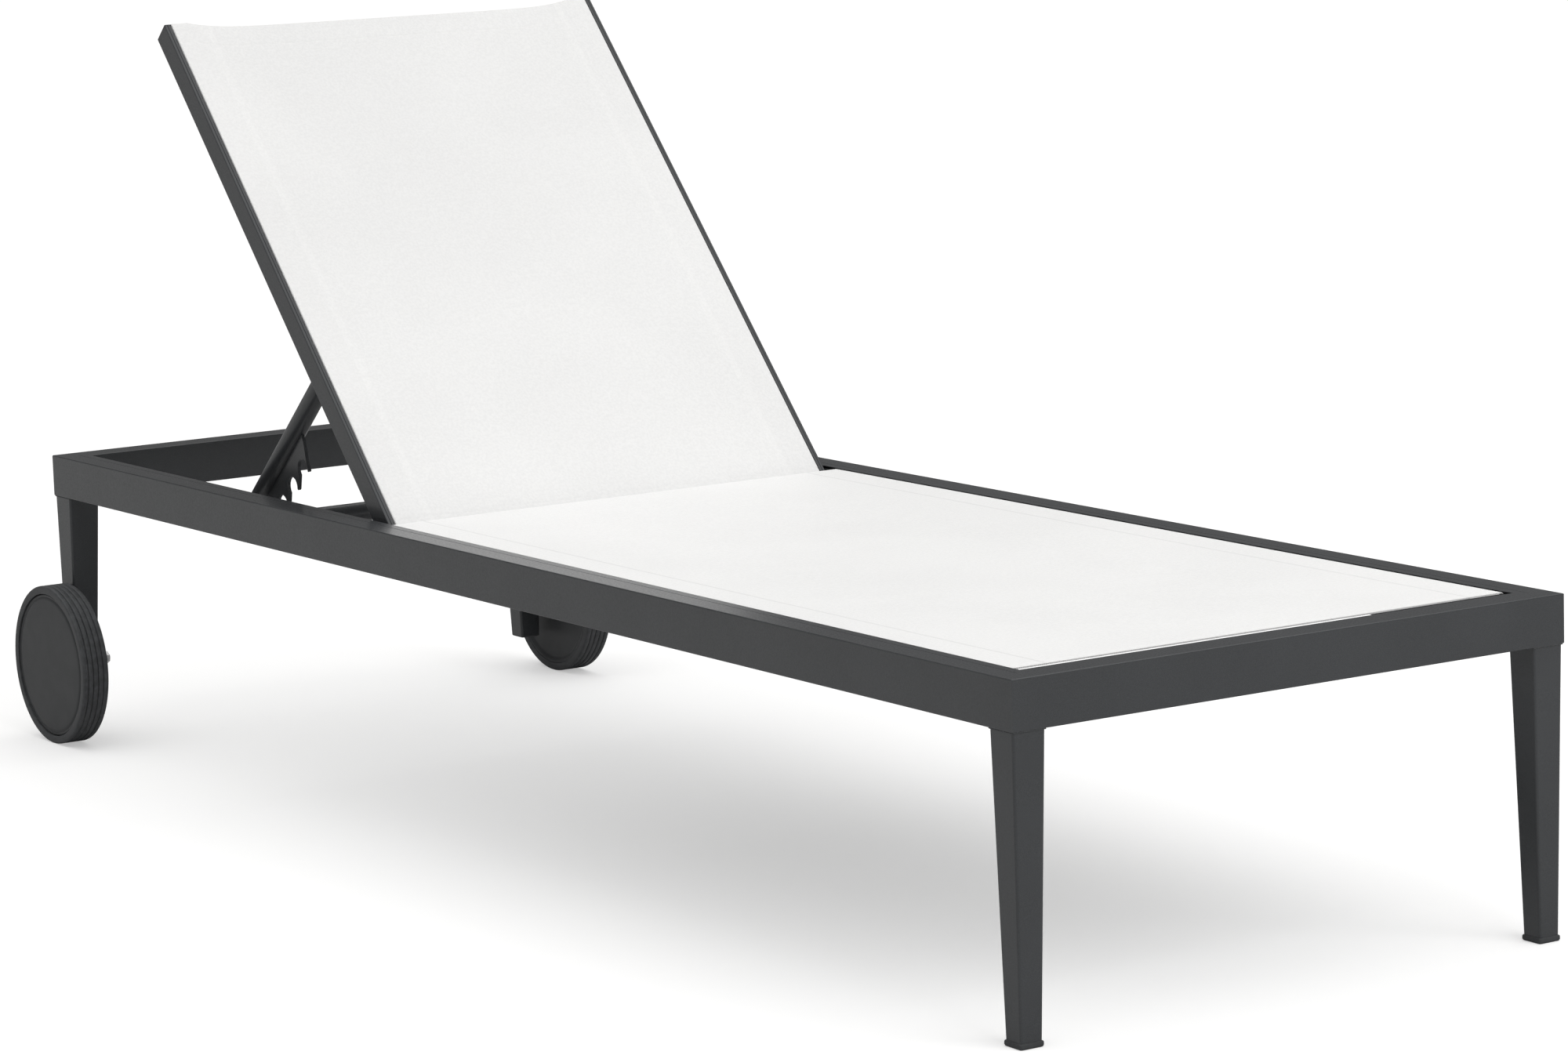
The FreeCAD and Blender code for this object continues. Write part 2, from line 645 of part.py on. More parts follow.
for name, side in SIDES.items():
    def span(low, high, radius, label, maker=rod):
        start, length = across(side, low, high)
        spot = (start, "axle_y", "wheel_radius")
        return maker(label, spot, length, radius) if maker is hexagon else \
            maker(label, "x", spot, length, radius)

    shank = span("nut_face - axle_nut_thick - 1.5", f"{hub_end} + 2", "axle_radius",
                 f"axle_shank_{name}")
    head = span(f"{hub_end} + 2", f"{hub_end} + 2 + axle_head_thick", "axle_radius * 1.6",
                f"axle_head_{name}")
    bolts.append(fuse(f"axle_bolt_{name}", shank, head))
    inner_hole = span("nut_face - axle_nut_thick - 1", "nut_face + 1", "axle_radius + 0.02",
                      f"nut_bore_{name}")
    blank = span("nut_face - axle_nut_thick", "nut_face", "axle_radius * 1.85",
                 f"nut_blank_{name}", hexagon)
    nuts.append(cut(f"axle_nut_{name}", blank, inner_hole))
    washer_start = f"{hub_end} + 2 - axle_washer_thick"
    disc = span(washer_start, f"{hub_end} + 2", "axle_radius * 2.1", f"washer_disc_{name}")
    hole = span(washer_start, f"{hub_end} + 2", "axle_radius + 0.2", f"washer_hole_{name}")
    washers.append(cut(f"axle_washer_{name}", disc, hole))
    tube = span("leg_face + 0.3", "wheel_x + 0.1", "axle_radius + bush_wall + 3",
                f"sleeve_tube_{name}")
    hole = span("leg_face - 1", "wheel_x + 1", "axle_radius + 0.2", f"sleeve_hole_{name}")
    sleeves.append(cut(f"axle_sleeve_{name}", tube, hole))
    barrel = span("leg_back", "leg_face", "boss_radius", f"boss_barrel_{name}")
    bore_hole = span("leg_back - 1", "leg_face + 1", "axle_radius + axle_hole_slack", f"boss_bore_{name}")
    start, length = across(side, "leg_back - 1", "leg_face + 1")
    beyond = box(f"boss_flat_{name}", (start, "leg_side_y - boss_gap", "wheel_radius - boss_radius"),
                 (length, "boss_radius", "2 * boss_radius"))
    bosses.append(cut(f"axle_boss_{name}", barrel, bore_hole, beyond))
keep(group("both_axle_bosses", bosses), "axle_bosses")
keep(group("both_axle_bolts", bolts), "axle_bolts")
keep(group("both_axle_nuts", nuts), "axle_nuts")
keep(group("both_axle_washers", washers), "axle_washers")
keep(group("both_axle_sleeves", sleeves), "axle_spacers")

# ---------------------------------------------------------------- seat

seat_start = "(foot_y + rail_wide + seat_front_gap)"
seat_end = "(hinge_y - seat_stop)"
keep(box("seat_cloth", ("-(inner_x - soft_gap)", seat_start, "deck_height - sling_down - sling_thick"),
         ("2 * (inner_x - soft_gap)", f"{seat_end} - {seat_start}", "sling_thick")), "seat_sling")
keep(group("both_seat_splines", [
    rod(f"seat_spline_{name}", "y",
        (f"{side} * (inner_x + groove_in)", seat_start, "deck_height - groove_down"),
        f"{seat_end} - {seat_start}", "groove_bore / 2 - spline_slack")
    for name, side in SIDES.items()]), "seat_splines")

# ---------------------------------------------------------------- backrest, made level on its hinge axis


def stile(label, side):
    """Extrusion with the sling groove in its front face; holes for the hinge bush and prop pin."""
    body = new_body(label + "_body")
    section = sketch_on(body, "XZ_Plane", label + "_section", "stile_tail")
    near, far = f"{side} * stile_inner", f"{side} * stile_outer"
    draw_outline(section, rectangle(near, far, "-stile_deep / 2", "stile_deep / 2"))
    pad(body, section, "stile_length + stile_tail", reverse=True)
    round_edges(body, "rail_round", lambda edge: straight_along(edge, 1))

    shelf = "back_groove_z - groove_bore / 2 - groove_skin"
    step = f"{side} * (back_groove_x - groove_bore / 2 - groove_skin)"
    hollow = sketch_on(body, "XZ_Plane", label + "_hollow")
    draw_outline(hollow, [
        (f"{side} * (stile_inner + stile_wall)", "-stile_deep / 2 + stile_wall"),
        (f"{side} * (stile_outer - stile_wall)", "-stile_deep / 2 + stile_wall"),
        (f"{side} * (stile_outer - stile_wall)", shelf),
        (step, shelf),
        (step, "stile_deep / 2 - stile_wall"),
        (f"{side} * (stile_inner + stile_wall)", "stile_deep / 2 - stile_wall")])
    pocket(body, hollow)
    groove = sketch_on(body, "XZ_Plane", label + "_groove")
    draw_circle(groove, f"{side} * back_groove_x", "back_groove_z", "groove_bore / 2")
    pocket(body, groove)
    slit = sketch_on(body, "XZ_Plane", label + "_slit")
    draw_outline(slit, rectangle(f"{side} * (back_groove_x - groove_slit / 2)",
                                 f"{side} * (back_groove_x + groove_slit / 2)",
                                 "back_groove_z", "stile_deep / 2 + 1"))
    pocket(body, slit)
    decor_line(body, label, side, "stile_outer - stile_line_in", "stile_deep / 2")
    holes = sketch_on(body, "YZ_Plane", label + "_holes")
    draw_circle(holes, "0", "0", "bush_radius + 0.05")
    pocket(body, holes)
    seat = sketch_on(body, "YZ_Plane", label + "_pin_hole", f"{side} * (stile_inner - 1)")
    draw_circle(seat, "pivot_reach", "-pivot_behind", "pin_radius + 0.05")
    blind_pocket(body, seat, "stile_wide / 2", reverse=side > 0)
    return keep(on_backrest(body), label)


for name, side in SIDES.items():
    stile(f"stile_{name}", side)

keep(on_backrest(pipe("top_tube", "x", ("-stile_inner", "top_bar_reach", "bar_forward"),
                      "2 * stile_inner", "tube_radius", "tube_wall")), "backrest_top_bar")
keep(on_backrest(pipe("low_tube", "x", ("-stile_inner", "low_bar_reach", "-low_bar_back"),
                      "2 * stile_inner", "tube_radius - 1", "tube_wall")), "backrest_lower_bar")


def back_cloth():
    """Flat sheet over the stiles; its top edge is hollowed between the stiles."""
    body = new_body("back_cloth")
    edge = "back_groove_x"
    sketch = sketch_on(body, "XY_Plane", "back_cloth_outline", "back_sling_low")
    top = "stile_length"
    steps = 8
    corners = [(f"-{edge}", "back_sling_start"), (edge, "back_sling_start")]
    for k in range(steps + 1):
        share = 1 - 2 * k / steps
        hollow = 1 - share ** 2
        corners.append((f"{share} * {edge}", f"{top} - {hollow} * back_sling_dip"))
    draw_outline(sketch, corners)
    pad(body, sketch, "sling_thick")
    return body


keep(on_backrest(back_cloth()), "backrest_sling")
keep(on_backrest(group("both_back_splines", [
    rod(f"back_spline_{name}", "y", (f"{side} * back_groove_x", "back_sling_start", "back_groove_z"),
        "stile_length - back_sling_start - 2", "groove_bore / 2 - spline_slack")
    for name, side in SIDES.items()])), "back_splines")

top_caps, tail_caps = [], []
for name, side in SIDES.items():
    start, length = across(side, "stile_inner", "stile_outer")
    cover = box(f"top_cap_cover_{name}", (start, "stile_length", "-stile_deep / 2"),
                (length, "cap_thick", "stile_deep"))
    start, length = across(side, "stile_inner + stile_wall + plug_slack",
                           "back_groove_x - groove_bore / 2 - groove_skin - plug_slack")
    plug = box(f"top_cap_plug_{name}",
               (start, "stile_length - plug_depth", "-stile_deep / 2 + stile_wall + plug_slack"),
               (length, "plug_depth", "stile_deep - 2 * (stile_wall + plug_slack)"))
    top_caps.append(fuse(f"top_cap_{name}", cover, plug))
    start, length = across(side, "stile_inner", "stile_outer")
    tail_caps.append(box(f"tail_cap_block_{name}", (start, "-stile_tail - tail_cap", "-stile_deep / 2"),
                         (length, "tail_cap", "stile_deep")))
keep(on_backrest(group("both_top_caps", top_caps)), "stile_top_caps")


def rounded_tails():
    """The lower caps' two long corners are rounded so that they clear the rails' edges."""
    rounded = []
    for cap in tail_caps:
        feature = doc.addObject("Part::Fillet", cap.Name + "_rounded")
        feature.Base = cap
        doc.recompute()
        low = cap.Shape.BoundBox.YMin
        picked = [k for k, edge in enumerate(cap.Shape.Edges, start=1)
                  if straight_along(edge, 0) and edge.Vertexes[0].Point.y < low + 0.01]
        size = sheet.tail_cap - 1
        feature.Edges = [(k, size, size) for k in picked]
        rounded.append(feature)
    return rounded


keep(on_backrest(group("both_tail_caps", rounded_tails())), "stile_bottom_caps")

# ---------------------------------------------------------------- hinge of the backrest

studs, nuts, spacers, bushes = [], [], [], []
for name, side in SIDES.items():
    def span(low, high, radius, label, y="hinge_y", z="hinge_z"):
        start, length = across(side, low, high)
        return rod(label, "x", (start, y, z), length, radius)

    flange = "inner_x - 1.2"
    head = span("stile_inner - 6.2", "stile_inner - 2.2", "stud_radius * 2", f"stud_head_{name}")
    shoulder = span("stile_inner - 2.2", f"{flange} - 0.1", "stud_radius", f"stud_shoulder_{name}")
    thread = span(f"{flange} - 0.1", "inner_x + 12", "thread_radius", f"stud_thread_{name}")
    studs.append(fuse(f"hinge_stud_{name}", head, shoulder, thread))
    collar = span(flange, "inner_x", "nut_radius + 2.2", f"nut_collar_{name}")
    barrel = span("inner_x", "inner_x + 14", "nut_radius - 0.05", f"nut_barrel_{name}")
    tapping = span(f"{flange} - 1", "inner_x + 15", "thread_radius + 0.03", f"nut_tapping_{name}")
    nuts.append(cut(f"rivet_nut_{name}", fuse(f"nut_whole_{name}", collar, barrel), tapping))
    washer = span("stile_outer + 0.3", f"{flange} - 0.2", "stud_radius * 2.6", f"spacer_disc_{name}")
    hole = span("stile_outer", flange, "stud_radius + 0.1", f"spacer_hole_{name}")
    spacers.append(cut(f"hinge_spacer_{name}", washer, hole))
    sleeve = span("stile_inner - 0.1", "stile_outer", "bush_radius", f"bush_sleeve_{name}", "0", "0")
    brim = span("stile_inner - 1.9", "stile_inner", "bush_radius + 3.5", f"bush_brim_{name}", "0", "0")
    hole = span("stile_inner - 3", "stile_outer + 1", "stud_radius + running_slack",
                f"bush_hole_{name}", "0", "0")
    bushes.append(cut(f"hinge_bush_{name}", fuse(f"bush_whole_{name}", sleeve, brim), hole))
keep(group("both_hinge_studs", studs), "hinge_studs")
keep(group("both_rivet_nuts", nuts), "hinge_rivet_nuts")
keep(group("both_hinge_spacers", spacers), "hinge_spacers")
keep(on_backrest(group("both_hinge_bushes", bushes)), "hinge_bushes")

# ---------------------------------------------------------------- prop

pivot = ("pivot_reach", "-pivot_behind")
pins, washers, inserts = [], [], []
for name, side in SIDES.items():
    def span(low, high, radius, label, y="0", z="0"):
        start, length = across(side, low, high)
        return rod(label, "x", (start, y, z), length, radius)

    pins.append(span("prop_end_x - 24", "stile_inner + stile_wall + 1", "pin_radius",
                     f"prop_pin_{name}", *pivot))
    disc = span("prop_end_x + 1.6", "stile_inner", "tube_radius - 2", f"prop_disc_{name}", *pivot)
    hole = span("prop_end_x", "stile_inner + 1", "pin_radius + 0.1", f"prop_disc_hole_{name}", *pivot)
    washers.append(cut(f"prop_washer_{name}", disc, hole))
    plug = span("prop_end_x - 26", "prop_end_x", "tube_radius - tube_wall - 0.05", f"insert_plug_{name}")
    brim = span("prop_end_x", "prop_end_x + 1.3", "tube_radius", f"insert_brim_{name}")
    hole = span("prop_end_x - 30", "prop_end_x + 2", "pin_radius + running_slack",
                f"insert_hole_{name}")
    inserts.append(cut(f"tube_insert_{name}", fuse(f"insert_whole_{name}", plug, brim), hole))
keep(on_backrest(group("both_prop_pins", pins)), "prop_pivot_pins")
keep(on_backrest(group("both_prop_washers", washers)), "prop_washers")
keep(on_prop(group("both_tube_inserts", inserts)), "prop_tube_inserts")
keep(on_prop(pipe("prop_cross", "x", ("-prop_end_x", "0", "0"), "2 * prop_end_x", "tube_radius",
                  "tube_wall")), "prop_top_tube")


def notched_plate(label, side):
    """Flat bar welded under an arm; its arches drop over the fixed cross tube.

    The way out of the last notch is opened along release_slope, because the prop is tied to the
    backrest's turn and can't first be lifted clear by hand."""
    body = new_body(label + "_body")
    count = int(sheet.notch_count)
    middles = [f"(last_notch - {k} * notch_pitch)" for k in range(count)]
    first = middles[-1]
    last = middles[0]
    root = "-tube_radius"
    start, _ = across(side, "arm_x - plate_thick / 2", "arm_x + plate_thick / 2")
    sketch = sketch_on(body, "YZ_Plane", label + "_outline", start)
    draw_outline(sketch, [
        (f"{first} - plate_lead", root),
        (f"{first} - plate_lead + 2", "-20"),
        (f"{first} - plate_lead + 8", "-32"),
        (f"{first} - plate_lead + 15", "-0.85 * hook_reach"),
        (f"{first} - hook_lean - hook_tip", "-hook_reach"),
        (f"{last} - hook_lean", "-hook_reach"),
        (f"{last} + notch_radius", "-rest_offset - 4"),
        (f"{last} + notch_radius + 2.5", "-rest_offset"),
        (f"{last} + plate_tail - 4", "-26"),
        (f"{last} + plate_tail", root)])
    pad(body, sketch, "plate_thick")
    arches = sketch_on(body, "YZ_Plane", label + "_arches")
    for middle in middles:
        draw_circle(arches, middle, "-rest_offset", "notch_radius")
    pocket(body, arches)
    mouths = sketch_on(body, "YZ_Plane", label + "_mouths")
    below = "-hook_reach - 5"
    for middle in middles[1:]:
        draw_outline(mouths, [
            (f"{middle} - notch_radius", "-rest_offset"),
            (f"{middle} + notch_radius", "-rest_offset"),
            (f"{middle} + notch_pitch - hook_lean - hook_tip", "-hook_reach"),
            (f"{middle} + notch_pitch - hook_lean - hook_tip", below),
            (f"{middle} - hook_lean", below),
            (f"{middle} - hook_lean", "-hook_reach")])
    pocket(body, mouths)
    release = sketch_on(body, "YZ_Plane", label + "_release")
    edge_y = f"({last} - notch_radius * sin(release_slope))"
    edge_z = "(-rest_offset + notch_radius * cos(release_slope))"
    draw_outline(release, [
        (edge_y, edge_z),
        (last, "-rest_offset"),
        (f"{last} + notch_radius", "-rest_offset"),
        (f"{last} + notch_radius", "-hook_reach - 30"),
        (f"{edge_y} - (hook_reach + 30) * cos(release_slope)",
         f"{edge_z} - (hook_reach + 30) * sin(release_slope)")])
    pocket(body, release)
    return keep(on_prop(body), label)


arm_plugs = []
for name, side in SIDES.items():
    middle = f"{side} * arm_x"
    outside = rod(f"arm_outside_{name}", "y", (middle, "2", "0"), "arm_length - 2", "tube_radius")
    hollow = rod(f"arm_hollow_{name}", "y", (middle, "0", "0"), "arm_length", "tube_radius - tube_wall")
    cope = rod(f"arm_cope_{name}", "x", (f"{middle} - 2 * tube_radius", "0", "0"), "4 * tube_radius",
               "tube_radius + 0.05")
    keep(on_prop(cut(f"arm_{name}", outside, hollow, cope)), f"prop_arm_{name}")
    notched_plate(f"prop_plate_{name}", side)
    cover = rod(f"arm_plug_cover_{name}", "y", (middle, "arm_length", "0"), "cap_thick", "tube_radius")
    plug = rod(f"arm_plug_stem_{name}", "y", (middle, "arm_length - plug_depth", "0"), "plug_depth",
               "tube_radius - tube_wall - 0.05")
    arm_plugs.append(fuse(f"arm_plug_{name}", cover, plug))
keep(on_prop(group("both_arm_plugs", arm_plugs)), "prop_arm_plugs")

# ---------------------------------------------------------------- check and write

doc.recompute()
for thing in doc.Objects:
    if "Invalid" in thing.State or "Error" in thing.State:
        raise RuntimeError(f"{thing.Name} failed: {thing.State}")
os.makedirs("parts", exist_ok=True)
for piece in nodes:
    shape = piece.Shape
    if shape.isNull() or not shape.isValid() or not shape.Solids:
        raise RuntimeError(f"{piece.Label} has no valid solid")
    shape.exportStep(f"parts/{piece.Label}.step")
    print(f"{piece.Label:24s} {len(shape.Solids)} solid(s) {shape.Volume / 1000:9.2f} cm3")
whole = Part.Compound([piece.Shape for piece in nodes]).BoundBox
print(f"{len(nodes)} nodes; x {whole.XMin:.1f}..{whole.XMax:.1f}  y {whole.YMin:.1f}..{whole.YMax:.1f}"
      f"  z {whole.ZMin:.1f}..{whole.ZMax:.1f}")
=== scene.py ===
import math

import bmesh
import bpy
from mathutils import Matrix, Vector


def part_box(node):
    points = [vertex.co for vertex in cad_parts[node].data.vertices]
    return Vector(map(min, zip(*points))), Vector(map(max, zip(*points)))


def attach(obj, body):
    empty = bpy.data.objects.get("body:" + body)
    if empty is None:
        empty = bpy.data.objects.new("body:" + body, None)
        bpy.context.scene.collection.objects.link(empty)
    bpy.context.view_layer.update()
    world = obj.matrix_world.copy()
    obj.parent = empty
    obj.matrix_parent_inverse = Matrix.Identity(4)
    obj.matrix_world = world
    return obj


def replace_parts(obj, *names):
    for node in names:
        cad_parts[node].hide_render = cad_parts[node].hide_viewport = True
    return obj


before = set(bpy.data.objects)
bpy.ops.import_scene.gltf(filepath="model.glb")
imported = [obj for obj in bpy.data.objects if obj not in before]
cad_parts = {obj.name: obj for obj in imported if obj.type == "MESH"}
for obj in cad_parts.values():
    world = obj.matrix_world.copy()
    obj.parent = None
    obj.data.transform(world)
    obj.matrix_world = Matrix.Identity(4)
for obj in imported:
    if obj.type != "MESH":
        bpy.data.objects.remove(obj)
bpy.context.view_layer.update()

# ---------------------------------------------------------------- the studio
# The lounger stands on a pale sweep under one very wide overhead softbox, with a second softbox
# above its foot end.  The sweep and the room are stage, and no part of the lounger.

aim_azimuth = math.radians(-33.2082)
aim_elevation = math.radians(8.9487)
aim_roll = math.radians(-1.7612)
back = Vector((math.sin(aim_azimuth) * math.cos(aim_elevation),
               -math.cos(aim_azimuth) * math.cos(aim_elevation), math.sin(aim_elevation)))
level = Vector((math.cos(aim_azimuth), math.sin(aim_azimuth), 0))
upward = level.cross(-back)
across = math.cos(aim_roll) * level + math.sin(aim_roll) * upward
upright = -math.sin(aim_roll) * level + math.cos(aim_roll) * upward
camera = bpy.data.objects.new("camera", bpy.data.cameras.new("camera"))
bpy.context.scene.collection.objects.link(camera)
camera.data.lens = 117.84
camera.data.sensor_width = 36
camera.data.clip_end = 200
camera.matrix_world = Matrix((across, upright, back)).transposed().to_4x4()
camera.location = (-3.0211, -4.7663, 1.2204)
bpy.context.scene.camera = camera
bpy.context.scene.view_settings.view_transform = "Standard"


def node(tree, kind, inputs=(), **settings):
    """A shader node with its settings and its inputs, which are values or other nodes' outputs."""
    made = tree.nodes.new(kind)
    for word, value in settings.items():
        setattr(made, word, value)
    for socket, value in dict(inputs).items():
        if isinstance(value, bpy.types.NodeSocket):
            tree.links.new(value, made.inputs[socket])
        else:
            made.inputs[socket].default_value = value
    return made


def maths(tree, operation, *values):
    """One arithmetic step on values or other nodes' outputs."""
    made = node(tree, "ShaderNodeMath", enumerate(values), operation=operation)
    return made.outputs[0]


def ramp(tree, value, low, high, out_low, out_high):
    """Runs smoothly from out_low to out_high as value goes from low to high."""
    made = node(tree, "ShaderNodeMapRange",
                {"Value": value, "From Min": low, "From Max": high, "To Min": out_low, "To Max": out_high},
                interpolation_type="SMOOTHSTEP")
    return made.outputs["Result"]


room = bpy.data.worlds.new("room")
bpy.context.scene.world = room
room.use_nodes = True
tree = room.node_tree
tree.nodes.clear()
overhead, low_wall, side_wall, backdrop = 1.53, 0.15, 0.10, 1.1
heading = node(tree, "ShaderNodeTexCoord").outputs["Generated"]
height = node(tree, "ShaderNodeSeparateXYZ", {0: heading}).outputs["Z"]
sideways = node(tree, "ShaderNodeVectorMath", {0: heading, 1: (-0.95, -0.3, 0)},
                operation="DOT_PRODUCT").outputs["Value"]
strength = maths(tree, "ADD", ramp(tree, height, 0.5, 0.8, low_wall, overhead),
                 ramp(tree, sideways, 0.0, 0.8, 0, side_wall))
softbox = node(tree, "ShaderNodeBackground", {"Color": (1, 0.995, 0.985, 1), "Strength": strength})
paper = node(tree, "ShaderNodeBackground", {"Color": (1, 1, 1, 1), "Strength": backdrop})
seen = node(tree, "ShaderNodeLightPath").outputs["Is Camera Ray"]
both = node(tree, "ShaderNodeMixShader", {0: seen, 1: softbox.outputs[0], 2: paper.outputs[0]})
node(tree, "ShaderNodeOutputWorld", {"Surface": both.outputs[0]})

sweep_mesh = bpy.data.meshes.new("sweep")
sweep_half = 60
sweep_grey, sweep_lift = 0.62, 0.43
sweep_mesh.from_pydata([(-sweep_half, -sweep_half, 0), (sweep_half, -sweep_half, 0),
                        (sweep_half, sweep_half, 0), (-sweep_half, sweep_half, 0)], [], [(0, 1, 2, 3)])
sweep = bpy.data.objects.new("sweep", sweep_mesh)
bpy.context.scene.collection.objects.link(sweep)
sweep_paint = bpy.data.materials.new("pale_sweep")
sweep_paint.use_nodes = True
tree = sweep_paint.node_tree
tree.nodes.clear()
matt = node(tree, "ShaderNodeBsdfDiffuse", {"Color": (sweep_grey, sweep_grey, sweep_grey, 1)})
lift = node(tree, "ShaderNodeEmission", {"Color": (1, 1, 1, 1), "Strength": maths(
    tree, "MULTIPLY", node(tree, "ShaderNodeLightPath").outputs["Is Camera Ray"], sweep_lift)})
paint_sum = node(tree, "ShaderNodeAddShader", {0: matt.outputs[0], 1: lift.outputs[0]})
node(tree, "ShaderNodeOutputMaterial", {"Surface": paint_sum.outputs[0]})
sweep_mesh.materials.append(sweep_paint)

front_light = bpy.data.lights.new("front_softbox", "AREA")
front_light.shape = "RECTANGLE"
front_light.size, front_light.size_y = 4.5, 3.0
front_light.energy = 120
front_softbox = bpy.data.objects.new("front_softbox", front_light)
bpy.context.scene.collection.objects.link(front_softbox)
front_softbox.location = (0.8, -4.6, 3.6)
front_aim = front_softbox.location - Vector((0, 0.2, 0.5))
front_softbox.rotation_euler = front_aim.to_track_quat("Z", "Y").to_euler()

# ---------------------------------------------------------------- base frame
# Four aluminium extrusions, mitred, welded and ground flush at the corners, then powder coated in
# a fine-textured charcoal.  The side rails carry the sling grooves.

MM = 0.001


def finish_for(name):
    """An empty node material with one Principled shader; returns the material, tree and shader."""
    made = bpy.data.materials.new(name)
    made.use_nodes = True
    made.node_tree.nodes.clear()
    shader = node(made.node_tree, "ShaderNodeBsdfPrincipled")
    node(made.node_tree, "ShaderNodeOutputMaterial", {"Surface": shader.outputs[0]})
    return made, made.node_tree, shader


def speckle(tree, scale, detail=2.0, roughness=0.5):
    """Solid noise in the piece's own metres."""
    spot = node(tree, "ShaderNodeTexCoord").outputs["Object"]
    made = node(tree, "ShaderNodeTexNoise", {"Vector": spot, "Scale": scale, "Detail": detail,
                                              "Roughness": roughness})
    return made.outputs["Fac"]


def shade_between(tree, share, dark, light):
    """A colour that runs from dark to light as share goes from 0 to 1."""
    made = node(tree, "ShaderNodeMix", {"Factor": share}, data_type="RGBA")
    for socket in made.inputs:
        if socket.type == "RGBA":
            socket.default_value = (*(dark if socket.name == "A" else light), 1)
    return next(out for out in made.outputs if out.type == "RGBA")


def relief(tree, shader, height, depth, strength):
    """Fine relief of a depth in metres, too small to be worth a mesh."""
    bump = node(tree, "ShaderNodeBump", {"Height": height, "Distance": depth, "Strength": strength})
    tree.links.new(bump.outputs["Normal"], shader.inputs["Normal"])


powder_coat, tree, shader = finish_for("charcoal_powder_coat")
grains = speckle(tree, 1500, 3)
clouds = speckle(tree, 9, 2)
peel = speckle(tree, 420, 2)
tone = maths(tree, "ADD", ramp(tree, grains, 0.3, 0.7, 0, 0.75), ramp(tree, clouds, 0.3, 0.7, 0, 0.25))
tree.links.new(shade_between(tree, tone, (0.0275, 0.0295, 0.032), (0.0445, 0.0475, 0.0515)),
               shader.inputs["Base Color"])
tree.links.new(ramp(tree, peel, 0.3, 0.7, 0.33, 0.43), shader.inputs["Roughness"])
shader.inputs["Specular IOR Level"].default_value = 0.25
shader.inputs["Coat Weight"].default_value = 0.35
shader.inputs["Coat Roughness"].default_value = 0.16
relief(tree, shader, maths(tree, "ADD", maths(tree, "MULTIPLY", grains, 0.45), peel), 0.00005, 0.5)


def finish_nodes(material, *names):
    """Gives carried-over CAD nodes their finish."""
    for name in names:
        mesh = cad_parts[name].data
        mesh.materials.clear()
        mesh.materials.append(material)


finish_nodes(powder_coat, "side_rail_left", "side_rail_right", "foot_rail", "head_rail",
             "seat_spreader", "prop_rest_tube")


def build(name, points, faces, material, body, slot, crease=35):
    """A closed mesh piece, with its finish, that rides on its body."""
    mesh = bpy.data.meshes.new(name)
    mesh.from_pydata(points, [], faces)
    work = bmesh.new()
    work.from_mesh(mesh)
    bmesh.ops.recalc_face_normals(work, faces=work.faces)
    work.to_mesh(mesh)
    work.free()
    mesh.shade_smooth()
    mesh.set_sharp_from_angle(angle=math.radians(crease))
    mesh.materials.append(material)
    made = bpy.data.objects.new(name, mesh)
    bpy.context.scene.collection.objects.link(made)
    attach(made, body)
    return made


def skin(rings, closed=False):
    """Points and faces over rings of equal count; open runs are capped at both ends."""
    count = len(rings[0])
    points = [spot for ring in rings for spot in ring]
    faces = []
    for k in range(len(rings) if closed else len(rings) - 1):
        here, there = k * count, (k + 1) % len(rings) * count
        for j in range(count):
            faces.append((here + j, here + (j + 1) % count, there + (j + 1) % count, there + j))
    if not closed:
        faces.append(tuple(range(count)))
        faces.append(tuple(range(len(points) - count, len(points))))
    return points, faces


def bead(line, side, length, radius=1.5 * MM, closed=True):
    """A TIG bead along line(share), share from 0 to 1; side is square to the line's plane."""
    ripple = 1.3 * MM
    stations = 4 * max(3, round(length / ripple))
    rings = []
    for k in range(stations if closed else stations + 1):
        share = k / stations
        step = 0.2 / stations
        middle = line(share)
        along = (line((share + step) % 1 if closed else min(1, share + step))
                 - line((share - step) % 1 if closed else max(0, share - step))).normalized()
        outward = along.cross(side).normalized()
        size = radius * (1 + 0.14 * math.sin(math.pi / 2 * k))
        if not closed:
            size *= min(1, 0.35 + 8 * share, 0.35 + 8 * (1 - share))
        turns = [math.pi / 4 * j for j in range(8)]
        rings.append([middle + size * (math.cos(turn) * outward + math.sin(turn) * side) for turn in turns])
    return skin(rings, closed)


def heap(parts):
    """Several closed skins as one."""
    points, faces = [], []
    for more_points, more_faces in parts:
        start = len(points)
        points.extend(more_points)
        faces.extend(tuple(start + k for k in face) for face in more_faces)
    return points, faces


def square_line(middle, one, two):
    """A function that runs round the rectangle middle ± one ± two."""
    corners = [middle + one + two, middle - one + two, middle - one - two, middle + one - two]
    sides = [(corners[(k + 1) % 4] - corners[k]).length for k in range(4)]
    whole = sum(sides)

    def line(share):
        left = share * whole
        for k in range(4):
            if left <= sides[k] or k == 3:
                return corners[k].lerp(corners[(k + 1) % 4], min(1, left / sides[k]))
            left -= sides[k]
    return line, whole


def ring_line(middle, one, two):
    """A function that runs round the ellipse with half axes one and two."""
    def line(share):
        turn = 2 * math.pi * share
        return middle + math.cos(turn) * one + math.sin(turn) * two
    return line, math.pi * (one.length + two.length)


